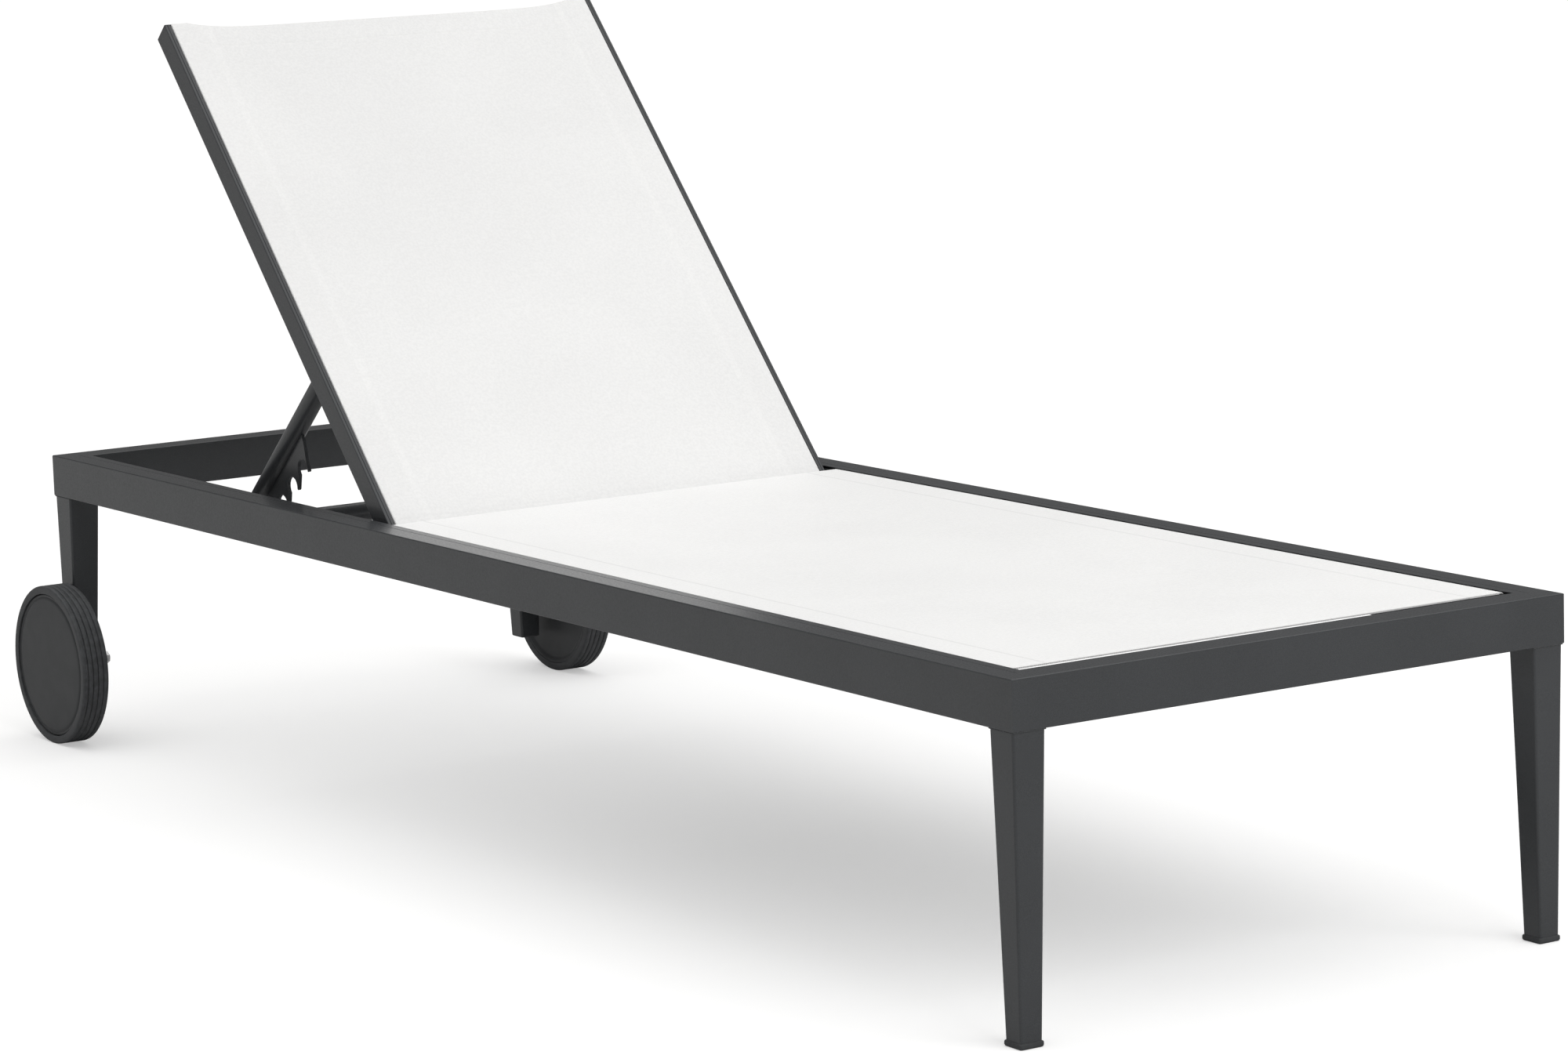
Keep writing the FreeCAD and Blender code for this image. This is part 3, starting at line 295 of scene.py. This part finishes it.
X, Y, Z = Vector((1, 0, 0)), Vector((0, 1, 0)), Vector((0, 0, 1))
SIDES = {"left": 1, "right": -1}
rail_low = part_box("side_rail_left")[0]
frame_welds = []
for name, side in SIDES.items():
    face = Vector((side * rail_low.x, 0, 0))
    low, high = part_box("prop_rest_tube")
    middle, radius = (low + high) / 2, (high.z - low.z) / 2
    line, length = ring_line(Vector((face.x, middle.y, middle.z)), radius * Y, radius * Z)
    frame_welds.append(bead(line, X, length))
    low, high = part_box("seat_spreader")
    middle = (low + high) / 2
    line, length = square_line(Vector((face.x, middle.y, middle.z)), (high.y - low.y) / 2 * Y,
                               (high.z - low.z) / 2 * Z)
    frame_welds.append(bead(line, X, length))

# ---------------------------------------------------------------- legs and feet
# Tapered square aluminium tubes, fillet welded under the frame's corners and coated with it.
# A moulded cap with a lip closes each front leg, and a flat plug closes each rear one.

front_top_half, front_top_x, front_top_in = 18.5 * MM, 315 * MM, 20 * MM
rear_top_half, rear_top_x, rear_top_in = 19.75 * MM, 314 * MM, 21 * MM
weld_down = 0.4 * MM
legs = [f"leg_{place}_{name}" for place in ("front", "rear") for name in SIDES]
finish_nodes(powder_coat, *legs)
for leg in legs:
    low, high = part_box(leg)
    rear = "rear" in leg
    half = rear_top_half if rear else front_top_half
    middle = Vector((math.copysign(rear_top_x if rear else front_top_x, low.x), 0, high.z - weld_down))
    if rear:
        middle.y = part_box("head_rail")[1].y - rear_top_in
    else:
        middle.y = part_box("foot_rail")[0].y + front_top_in
    line, length = square_line(middle, half * X, half * Y)
    frame_welds.append(bead(line, Z, length, 0.8 * MM))
build("frame_weld_beads", *heap(frame_welds), powder_coat, "frame", "powder_coated_aluminium")

moulded, tree, shader = finish_for("moulded_cap_plastic")
pores = speckle(tree, 2600, 2)
flow = speckle(tree, 60, 3)
tree.links.new(shade_between(tree, ramp(tree, flow, 0.3, 0.7, 0, 1), (0.038, 0.040, 0.042),
                             (0.053, 0.055, 0.058)), shader.inputs["Base Color"])
tree.links.new(ramp(tree, pores, 0.3, 0.7, 0.5, 0.64), shader.inputs["Roughness"])
shader.inputs["Specular IOR Level"].default_value = 0.25
relief(tree, shader, pores, 0.00004, 0.6)


def rounded(middle, one, two, radius, steps=5):
    """A ring round a rectangle of half sides one and two with rounded corners."""
    wide, deep = one.length, two.length
    ring = []
    for corner, (a, b) in enumerate(((1, 1), (-1, 1), (-1, -1), (1, -1))):
        for k in range(steps + 1):
            turn = math.pi / 2 * (corner + k / steps)
            ring.append(middle + one.normalized() * (a * (wide - radius) + radius * math.cos(turn))
                        + two.normalized() * (b * (deep - radius) + radius * math.sin(turn)))
    return ring


def lipped_cap(middle, axis, one, two, levels):
    """Rounded rings stacked along axis; each level is (height, inset, corner radius)."""
    rings = []
    for rise, inset, radius in levels:
        rings.append(rounded(middle + rise * axis, one * (1 - inset / one.length),
                             two * (1 - inset / two.length), radius))
    return skin(rings)


feet = []
foot_half = 14 * MM
low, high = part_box("foot_caps")
for side in SIDES.values():
    middle = Vector((side * (high.x - foot_half), (low.y + high.y) / 2, 0))
    feet.append(lipped_cap(middle, Z, foot_half * X, foot_half * Y, [
        (0.05 * MM, 3.2 * MM, 2 * MM), (0.05 * MM, 1.6 * MM, 2.2 * MM), (0.5 * MM, 0.7 * MM, 2.6 * MM),
        (1.6 * MM, 0.1 * MM, 2.8 * MM), (2.6 * MM, 0, 2.8 * MM), (4.6 * MM, 0.05 * MM, 2.8 * MM),
        (5.5 * MM, 0.35 * MM, 2.6 * MM), (5.95 * MM, 1.1 * MM, 2.2 * MM), (6.0 * MM, 2.6 * MM, 2 * MM)]))
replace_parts(build("foot_cap_lips", *heap(feet), moulded, "frame", "cap_plastic"), "foot_caps")

plugs = []
plug_half, plug_in = 13.4 * MM, 13.5 * MM
low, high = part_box("rear_leg_plugs")
for side in SIDES.values():
    middle = Vector((side * (high.x - plug_in), (low.y + high.y) / 2, low.z))
    plugs.append(lipped_cap(middle, Z, plug_half * X, plug_half * Y, [
        (0.0, 4.5 * MM, 2 * MM), (0.1 * MM, 1.4 * MM, 2.2 * MM), (0.6 * MM, 0.4 * MM, 2.5 * MM),
        (1.5 * MM, 0, 2.5 * MM), (1.95 * MM, 0.05 * MM, 2.5 * MM), (2.0 * MM, 2.6 * MM, 1.6 * MM),
        (18 * MM, 2.8 * MM, 1.6 * MM), (19.5 * MM, 4.5 * MM, 1.2 * MM)]))
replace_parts(build("rear_leg_plug_lips", *heap(plugs), moulded, "frame", "cap_plastic"), "rear_leg_plugs")

# ---------------------------------------------------------------- wheels
# Each wheel is a moulded charcoal hub and rim with a snap-in outer cover, and a softer tread with
# five rounded ribs is moulded round the rim.  It turns on a bolt, which is held by a boss welded to
# the rear leg, with a nylon bush, spacer and washer and a zinc-plated nut.

wheel_plastic, tree, shader = finish_for("satin_wheel_plastic")
pores = speckle(tree, 1900, 2)
flow = speckle(tree, 35, 3)
tree.links.new(shade_between(tree, ramp(tree, flow, 0.3, 0.7, 0, 1), (0.043, 0.045, 0.0475),
                             (0.049, 0.051, 0.0535)), shader.inputs["Base Color"])
tree.links.new(ramp(tree, pores, 0.3, 0.7, 0.36, 0.47), shader.inputs["Roughness"])
shader.inputs["Specular IOR Level"].default_value = 0.16
relief(tree, shader, pores, 0.00003, 0.5)

tread_rubber, tree, shader = finish_for("soft_tread")
pores = speckle(tree, 1200, 3)
scuffs = speckle(tree, 140, 4)
tree.links.new(shade_between(tree, ramp(tree, scuffs, 0.35, 0.7, 0, 1), (0.049, 0.051, 0.054),
                             (0.071, 0.074, 0.078)), shader.inputs["Base Color"])
tree.links.new(ramp(tree, scuffs, 0.3, 0.7, 0.46, 0.62), shader.inputs["Roughness"])
shader.inputs["Specular IOR Level"].default_value = 0.25
relief(tree, shader, pores, 0.00005, 0.6)


drawn_radius, hub_reach = 100, 50


def sized(profile, radius):
    """Moves the rim part of a profile, drawn for a wheel of drawn_radius, to the real radius."""
    return [(along, r + radius - drawn_radius if r > hub_reach else r) for along, r in profile]


def turned(profile, middle, side, steps=160):
    """A profile of (outward, radius), in millimetres, turned about the axle into a closed ring."""
    rings = []
    for k in range(steps):
        turn = 2 * math.pi * k / steps
        spoke = math.cos(turn) * Y + math.sin(turn) * Z
        rings.append([middle + side * along * MM * X + radius * MM * spoke for along, radius in profile])
    return skin(rings, closed=True)


def disc(profile, middle, side, steps=160):
    """The same for a profile whose two ends face each other across the axle: both are closed flat."""
    turns = [2 * math.pi * k / steps for k in range(steps)]
    spokes = [math.cos(turn) * Y + math.sin(turn) * Z for turn in turns]
    return skin([[middle + side * along * MM * X + radius * MM * spoke for spoke in spokes]
                 for along, radius in profile])


def arc(middle, radius, start, end, steps):
    """Points on a round corner of a profile, from one angle to the other, in degrees."""
    return [(middle[0] + radius * math.cos(math.radians(start + (end - start) * k / steps)),
             middle[1] + radius * math.sin(math.radians(start + (end - start) * k / steps)))
            for k in range(steps + 1)]


tread_start, tread_end, rib_count = 0.1, 33.9, 5
rib_wide = (tread_end - tread_start) / rib_count
rib_round, rib_level = 2.3, 97.6
tread_profile = [(tread_start + 0.5, 90.2), (tread_start, 91.5), (tread_start, 97.4)]
for k in range(rib_count):
    near = tread_start + k * rib_wide
    far = near + rib_wide
    tread_profile += arc((near + rib_round, rib_level), rib_round, 172, 90, 6)
    tread_profile += arc((far - rib_round, rib_level), rib_round, 90, 8, 6)
    if k < rib_count - 1:
        tread_profile.append((far, 97.0))
tread_profile += [(tread_end, 97.4), (tread_end, 91.5), (tread_end - 0.5, 90.2)]

cover_profile = [(29.0, 20), (29.0, 89.0), (30.2, 89.5)] + arc((30.5, 88.2), 1.3, 80, 10, 4) + [
    (31.75, 87.6), (31.3, 86.9), (31.2, 86.2), (31.35, 85.6), (32.0, 84.4), (32.25, 82.5), (32.35, 79),
    (32.4, 60), (32.4, 20)]
hub_profile = ([(1.0, 89.95), (0.95, 88.6), (1.2, 87.2), (2.2, 84.8), (3.2, 83.6), (3.4, 81.5), (3.0, 60),
                (2.6, 34), (2.2, 24), (1.4, 18.0), (1.0, 14.5), (1.0, 7.2), (20.0, 7.2), (20.0, 15.2),
                (19.4, 16.0), (6.4, 16.6), (5.6, 17.5), (5.6, 82.2), (6.4, 83.0), (29.0, 83.2),
                (29.0, 89.95)])
for name, side in SIDES.items():
    low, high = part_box(f"wheel_tread_{name}")
    middle = Vector((low.x if side > 0 else high.x, (low.y + high.y) / 2, (low.z + high.z) / 2))
    body = f"wheel_{name}"
    radius = (high.z - low.z) / 2 / MM
    tread_skin = turned(sized(tread_profile, radius), middle, side)
    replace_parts(build(f"wheel_ribbed_tread_{name}", *tread_skin, tread_rubber, body, "tread_rubber"),
                f"wheel_tread_{name}")
    hub_skin = turned(sized(hub_profile, radius), middle, side)
    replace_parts(build(f"wheel_hub_{name}", *hub_skin, wheel_plastic, body, "wheel_plastic"),
                f"wheel_body_{name}")
    cover_skin = disc(sized(cover_profile, radius), middle, side)
    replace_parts(build(f"wheel_snap_cover_{name}", *cover_skin, wheel_plastic, body, "wheel_plastic"),
                f"wheel_cover_{name}")

nylon, tree, shader = finish_for("black_nylon")
pores = speckle(tree, 1500, 2)
tree.links.new(shade_between(tree, pores, (0.02, 0.02, 0.021), (0.036, 0.036, 0.037)),
               shader.inputs["Base Color"])
tree.links.new(ramp(tree, pores, 0.3, 0.7, 0.34, 0.46), shader.inputs["Roughness"])
relief(tree, shader, pores, 0.00002, 0.5)

zinc, tree, shader = finish_for("bright_zinc_plate")
spangle = speckle(tree, 700, 3)
tint = speckle(tree, 120, 2)
tree.links.new(shade_between(tree, tint, (0.46, 0.47, 0.49), (0.63, 0.62, 0.6)),
               shader.inputs["Base Color"])
shader.inputs["Metallic"].default_value = 1.0
tree.links.new(ramp(tree, spangle, 0.3, 0.7, 0.24, 0.4), shader.inputs["Roughness"])
relief(tree, shader, spangle, 0.00002, 0.4)

finish_nodes(nylon, "wheel_bush_left", "wheel_bush_right", "axle_spacers", "axle_washers")
finish_nodes(zinc, "axle_bolts", "axle_nuts")
finish_nodes(powder_coat, "axle_bosses")

# ---------------------------------------------------------------- seat sling
# A white coated polyester mesh, woven and welded.  Each side is folded back into a sleeve over a
# spline and slid into the groove of the side rail, which pulls the cloth flat.

woven, tree, shader = finish_for("white_sling_mesh")
yarn = 1.1 * MM


def weave(tree, shader, tilt, weld_at, weld_wide, weld_light):
    """Plain weave in the cloth's own plane, which tilt turns level, with a weld line at each side; the yarn
    crowns are painted lighter and the hollows between the yarns darker, as painted shade.
    """
    spot = node(tree, "ShaderNodeTexCoord").outputs["Object"]
    flat = node(tree, "ShaderNodeMapping", {"Vector": spot, "Rotation": (-tilt, 0, 0)},
                vector_type="POINT").outputs[0]
    parts = node(tree, "ShaderNodeSeparateXYZ", {0: flat})
    warp = maths(tree, "SINE", maths(tree, "MULTIPLY", parts.outputs["X"], math.pi / yarn))
    weft = maths(tree, "SINE", maths(tree, "MULTIPLY", parts.outputs["Y"], math.pi / yarn))
    warp_round, weft_round = maths(tree, "ABSOLUTE", warp), maths(tree, "ABSOLUTE", weft)
    over = ramp(tree, maths(tree, "MULTIPLY", warp, weft), -0.25, 0.25, 0, 1)
    warp_top = maths(tree, "MULTIPLY", warp_round, maths(tree, "MULTIPLY_ADD", weft_round, 0.45, 0.55))
    weft_top = maths(tree, "MULTIPLY", weft_round, maths(tree, "MULTIPLY_ADD", warp_round, 0.45, 0.55))
    mixed = node(tree, "ShaderNodeMix", {"Factor": over, "A": weft_top, "B": warp_top}, data_type="FLOAT")
    height = mixed.outputs[0]
    slubs = speckle(tree, 330, 3)
    bands = speckle(tree, 5, 2)
    uneven = maths(tree, "ADD", ramp(tree, slubs, 0.3, 0.7, 0, 0.22), ramp(tree, bands, 0.3, 0.7, 0, 0.12))
    # Painted shade: the yarn height also darkens the colour in the hollows between the yarns, beside the
    # real bump below.
    tone = maths(tree, "ADD", maths(tree, "MULTIPLY", height, 0.62), uneven)
    reach = maths(tree, "ABSOLUTE", parts.outputs["X"])
    far = maths(tree, "ABSOLUTE", maths(tree, "SUBTRACT", reach, weld_at))
    weld = ramp(tree, far, weld_wide * 0.35, weld_wide * 0.65, 1, 0)
    tone = maths(tree, "ADD", tone, maths(tree, "MULTIPLY", weld, weld_light))
    tree.links.new(shade_between(tree, tone, (0.70, 0.70, 0.70), (0.90, 0.90, 0.895)),
                   shader.inputs["Base Color"])
    tree.links.new(ramp(tree, height, 0, 1, 0.68, 0.52), shader.inputs["Roughness"])
    shader.inputs["Specular IOR Level"].default_value = 0.3
    shader.inputs["Sheen Weight"].default_value = 0.08
    relief(tree, shader, height, 0.00018, 0.6)


seat_low, seat_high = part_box("seat_sling")
seat_edge = seat_high.x
seat_weld = seat_edge - 41.5 * MM
weave(tree, shader, 0, seat_weld, 3 * MM, -0.55)

cloth_thick = 0.9 * MM


def cloth(across, along, spot, extra_top, extra_under):
    """A closed thin sheet over a grid; spot(u, v) gives a point of its middle and its outward normal."""
    top, under = [], []
    for v in along:
        for u in across:
            point, normal = spot(u, v)
            top.append(point + normal * (cloth_thick / 2 + extra_top(u, v)))
            under.append(point - normal * (cloth_thick / 2 + extra_under(u, v)))
    wide, long = len(across), len(along)
    count = wide * long
    faces = []
    for row in range(long - 1):
        for column in range(wide - 1):
            a = row * wide + column
            b, c, d = a + 1, a + wide + 1, a + wide
            faces.append((a, b, c, d))
            faces.append((count + d, count + c, count + b, count + a))
    rim = (list(range(wide)) + [row * wide + wide - 1 for row in range(1, long)]
           + [count - 1 - k for k in range(1, wide)] + [row * wide for row in range(long - 2, 0, -1)])
    for k, here in enumerate(rim):
        there = rim[(k + 1) % len(rim)]
        faces.append((here, count + here, count + there, there))
    return top + under, faces


def swell(distance, width):
    """1 in the middle of a line, falling smoothly to 0 at its edges."""
    share = min(1, abs(distance) / (width / 2))
    return (1 - share) ** 2 * (1 + 2 * share)


def smooth_step(value, low, high):
    share = min(1, max(0, (value - low) / (high - low)))
    return share * share * (3 - 2 * share)


def folded_over(turns, start, straight):
    """The half section of a cloth that runs level to start, then bends by steps and goes straight."""
    points = [start]
    angle = 0
    for step, turn in turns:
        angle += turn
        points.append(points[-1] + step * Vector((math.cos(angle), -math.sin(angle))))
    points.append(points[-1] + straight * Vector((math.cos(angle), -math.sin(angle))))
    return points


def section_spot(u, bend):
    """Point (x, z) and normal on the half section for the signed distance u from the middle."""
    start = bend[0].x
    far, side = abs(u), math.copysign(1, u)
    if far <= start:
        return Vector((u, bend[0].y)), Vector((0, 1))
    left = far - start
    for k in range(len(bend) - 1):
        step = bend[k + 1] - bend[k]
        if left <= step.length or k == len(bend) - 2:
            point = bend[k] + step * min(1, left / step.length)
            normal = Vector((-step.y, step.x)).normalized()
            return Vector((side * point.x, point.y)), Vector((side * normal.x, normal.y))
        left -= step.length


def even(low, high, step):
    count = max(1, round((high - low) / step))
    return [low + (high - low) * k / count for k in range(count + 1)]


def mirrored(half):
    """The same distances on both sides of the middle."""
    return [-u for u in reversed(half) if u > 0] + half


seat_level = (seat_low.z + seat_high.z) / 2
seat_turn = seat_edge - 0.2 * MM
seat_bend = folded_over([(0.4 * MM, math.radians(15))] * 3, Vector((seat_turn, seat_level)), 3.6 * MM)
seat_half = even(0, seat_turn, yarn) + [seat_edge + k * 0.4 * MM for k in range(1, 13)]
seat_rows = ([seat_low.y + d * MM for d in (0, 0.9, 1.4, 2.4, 4, 6, 8, 9, 9.5, 10, 10.6, 11.5, 14)]
             + even(seat_low.y + 22 * MM, seat_high.y - 22 * MM, 14 * MM)
             + [seat_high.y - d * MM for d in (14, 11.5, 10.6, 10, 9.5, 9, 8, 6, 4, 2.4, 1.4, 0.9, 0)])
seat_sag = 3.0 * MM


def seat_spot(u, v):
    flat, normal = section_spot(u, seat_bend)
    share = min(1, abs(u) / (seat_edge - 30 * MM))
    passed = min(1, max(0, (v - seat_low.y) / (seat_high.y - seat_low.y)))
    dip = seat_sag * (1 - share ** 2) * math.sin(math.pi * passed) ** 0.5
    tooth = 0
    if v in (seat_rows[0], seat_rows[-1]) and abs(u) < seat_edge:
        tooth = 0.8 * MM * (1 if round(u / yarn) % 2 else 0) * (1 if v == seat_rows[0] else -1)
    return Vector((flat.x, v + tooth, flat.y - dip)), Vector((normal.x, 0, normal.y))


def seat_top(u, v):
    welt = -0.3 * MM * swell(abs(u) - seat_weld, 3.4 * MM)
    for end in (seat_low.y, seat_high.y):
        welt -= 0.22 * MM * swell(abs(v - end) - 9.7 * MM, 2.4 * MM)
    return welt


def seat_under(u, v):
    sleeve = 0.7 * MM * (smooth_step(abs(u), seat_edge - 43 * MM, seat_edge - 41 * MM)
                         - smooth_step(abs(u), seat_edge - 4 * MM, seat_edge - 1 * MM))
    hem = max(1 - smooth_step(abs(v - end), 9 * MM, 10.5 * MM) for end in (seat_low.y, seat_high.y))
    return max(sleeve, 0.6 * MM * hem * (1 if abs(u) < seat_edge - 4 * MM else 0))


seat_skin = cloth(mirrored(seat_half), seat_rows, seat_spot, seat_top, seat_under)
seat_cloth = build("seat_cloth", *seat_skin, woven, "frame", "sling_fabric", 60)
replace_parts(seat_cloth, "seat_sling")

spline_plastic, tree, shader = finish_for("dark_spline")
strands = speckle(tree, 800, 2)
tree.links.new(shade_between(tree, strands, (0.03, 0.03, 0.03), (0.06, 0.06, 0.06)),
               shader.inputs["Base Color"])
tree.links.new(ramp(tree, strands, 0.3, 0.7, 0.45, 0.6), shader.inputs["Roughness"])
relief(tree, shader, strands, 0.00003, 0.5)
finish_nodes(spline_plastic, "seat_splines", "back_splines")

# ---------------------------------------------------------------- backrest frame
# Two square extrusions with a sling groove in the front, joined by two welded round tubes, all
# coated like the base.  Moulded caps close the stiles at both ends.

finish_nodes(powder_coat, "stile_left", "stile_right", "backrest_top_bar", "backrest_lower_bar")
hinge_low, hinge_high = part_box("hinge_studs")
hinge = Vector((0, (hinge_low.y + hinge_high.y) / 2, (hinge_low.z + hinge_high.z) / 2))
recline = math.radians(47.46)
along_stile = Vector((0, math.cos(recline), math.sin(recline)))
off_stile = Vector((0, -math.sin(recline), math.cos(recline)))


def on_backrest(x, s, n):
    """A point x across, s up the stile from the hinge, and n in front of the stile's middle."""
    return hinge + x * X + s * along_stile + n * off_stile


stile_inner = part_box("stile_left")[0].x
stile_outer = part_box("stile_left")[1].x
# Each bar: its place up the stile, how far before the stile's middle it lies, and its radius, in mm.
top_bar, low_bar = (708, 1.2, 12), (32, -1, 11)
back_welds = []
for side in SIDES.values():
    for reach, forward, radius in (top_bar, low_bar):
        line, length = ring_line(on_backrest(side * stile_inner, reach * MM, forward * MM),
                                 radius * MM * along_stile, radius * MM * off_stile)
        back_welds.append(bead(line, X, length))
build("backrest_weld_beads", *heap(back_welds), powder_coat, "backrest", "powder_coated_aluminium")

stile_middle, stile_half = (stile_inner + stile_outer) / 2, (stile_outer - stile_inner) / 2
stile_deep = 13.7 * MM
stile_top, stile_tail = 735.02 * MM, -12.02 * MM
top_caps, tail_caps = [], []
for side in SIDES.values():
    top_caps.append(lipped_cap(on_backrest(side * stile_middle, stile_top, 0), along_stile,
                               stile_half * X, stile_deep * off_stile, [
        (-1.5 * MM, 2.4 * MM, 1 * MM), (0, 2.2 * MM, 1 * MM), (0, 0.05 * MM, 1.2 * MM),
        (1.1 * MM, 0, 1.2 * MM), (1.7 * MM, 0.4 * MM, 1.3 * MM), (1.98 * MM, 1.6 * MM, 1.5 * MM),
        (2.0 * MM, 4 * MM, 2 * MM)]))
    tail_caps.append(lipped_cap(on_backrest(side * stile_middle, stile_tail, 0), -along_stile,
                                stile_half * X, stile_deep * off_stile, [
        (0, 0.05 * MM, 1.2 * MM), (1.2 * MM, 0, 1.3 * MM), (2.4 * MM, 0.4 * MM, 2.4 * MM),
        (4 * MM, 1.7 * MM, 3 * MM), (5.4 * MM, 3.6 * MM, 3.4 * MM), (6.4 * MM, 5.8 * MM, 3.4 * MM),
        (6.9 * MM, 8 * MM, 3 * MM)]))
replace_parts(build("stile_top_cap_lips", *heap(top_caps), moulded, "backrest", "cap_plastic"),
            "stile_top_caps")
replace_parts(build("stile_tail_cap_lips", *heap(tail_caps), moulded, "backrest", "cap_plastic"),
            "stile_bottom_caps")

# ---------------------------------------------------------------- backrest sling
# The same white mesh, held by splines in the stiles' front grooves.  Its sleeves are welded in a
# band that shows lighter.  Its top edge is turned over in a hem and cut lower between the stiles.

woven_back, tree, shader = finish_for("white_sling_mesh_back")
back_groove = 284.8 * MM
weave(tree, shader, recline, back_groove - 44 * MM, 9 * MM, 0.07)

back_turn, back_face = 283.3 * MM, 14.62 * MM
back_bend = folded_over([(0.42 * MM, math.radians(22.5))] * 4, Vector((back_turn, back_face)), 1.6 * MM)
back_half = even(0, back_turn, yarn) + [back_turn + k * 0.42 * MM for k in range(1, 9)]
back_rows = ([0.0, 0.0012, 0.003, 0.0055, 0.0075, 0.0085, 0.0105, 0.014, 0.02]
             + even(0.035, 0.945, 0.0185)
             + [1 - k for k in (0.046, 0.0435, 0.0415, 0.040, 0.0385, 0.0365, 0.033, 0.024, 0.012, 0.005,
                                0.002, 0.0)])
back_start, back_top, back_hollow, back_sag = 0.5 * MM, 736 * MM, 11 * MM, 3.5 * MM
hollow_half, sag_half = stile_inner - 1 * MM, 262 * MM


def back_height(u, v):
    """Place up the stile; the cut falls steeply beside each stile and is nearly straight between."""
    share = min(1, abs(u) / hollow_half)
    top = back_top - back_hollow * (1 - share ** 8)
    return back_start + v * (top - back_start)


def back_spot(u, v):
    flat, normal = section_spot(u, back_bend)
    share = min(1, abs(u) / sag_half)
    dip = back_sag * (1 - share ** 2) * math.sin(math.pi * min(1, max(0, (v - 0.05) / 0.9)))
    point = on_backrest(flat.x, back_height(u, v), flat.y - dip)
    return point, normal.x * X + normal.y * off_stile


def back_top_face(u, v):
    s = back_height(u, v)
    welt = 0.25 * MM * (smooth_step(abs(u), back_groove - 48.5 * MM, back_groove - 47.5 * MM)
                        - smooth_step(abs(u), back_groove - 40.5 * MM, back_groove - 39.5 * MM))
    top = back_height(u, 1)
    welt -= 0.25 * MM * swell(top - s - 29 * MM, 3 * MM)
    welt -= 0.22 * MM * swell(s - back_start - 6 * MM, 2.4 * MM)
    return welt


back_skin = cloth(mirrored(back_half), back_rows, back_spot, back_top_face, lambda u, v: 0)
back_cloth = build("backrest_cloth", *back_skin, woven_back, "backrest", "sling_fabric", 60)
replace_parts(back_cloth, "backrest_sling")

# ---------------------------------------------------------------- hinge
# A shouldered steel stud turns in a nylon bush in each stile and screws into a rivet nut in the
# side rail; a nylon washer keeps the stile off the rail.

finish_nodes(zinc, "hinge_studs", "hinge_rivet_nuts", "prop_pivot_pins")
finish_nodes(nylon, "hinge_spacers", "hinge_bushes", "prop_washers", "prop_tube_inserts")

# ---------------------------------------------------------------- prop
# A U of welded round tube swings from the stiles; a laser-cut notched plate under each arm hooks
# over the cross tube of the base.  All of it is coated like the base.

finish_nodes(powder_coat, "prop_top_tube", "prop_arm_left", "prop_arm_right", "prop_plate_left",
             "prop_plate_right")
finish_nodes(moulded, "prop_arm_plugs")
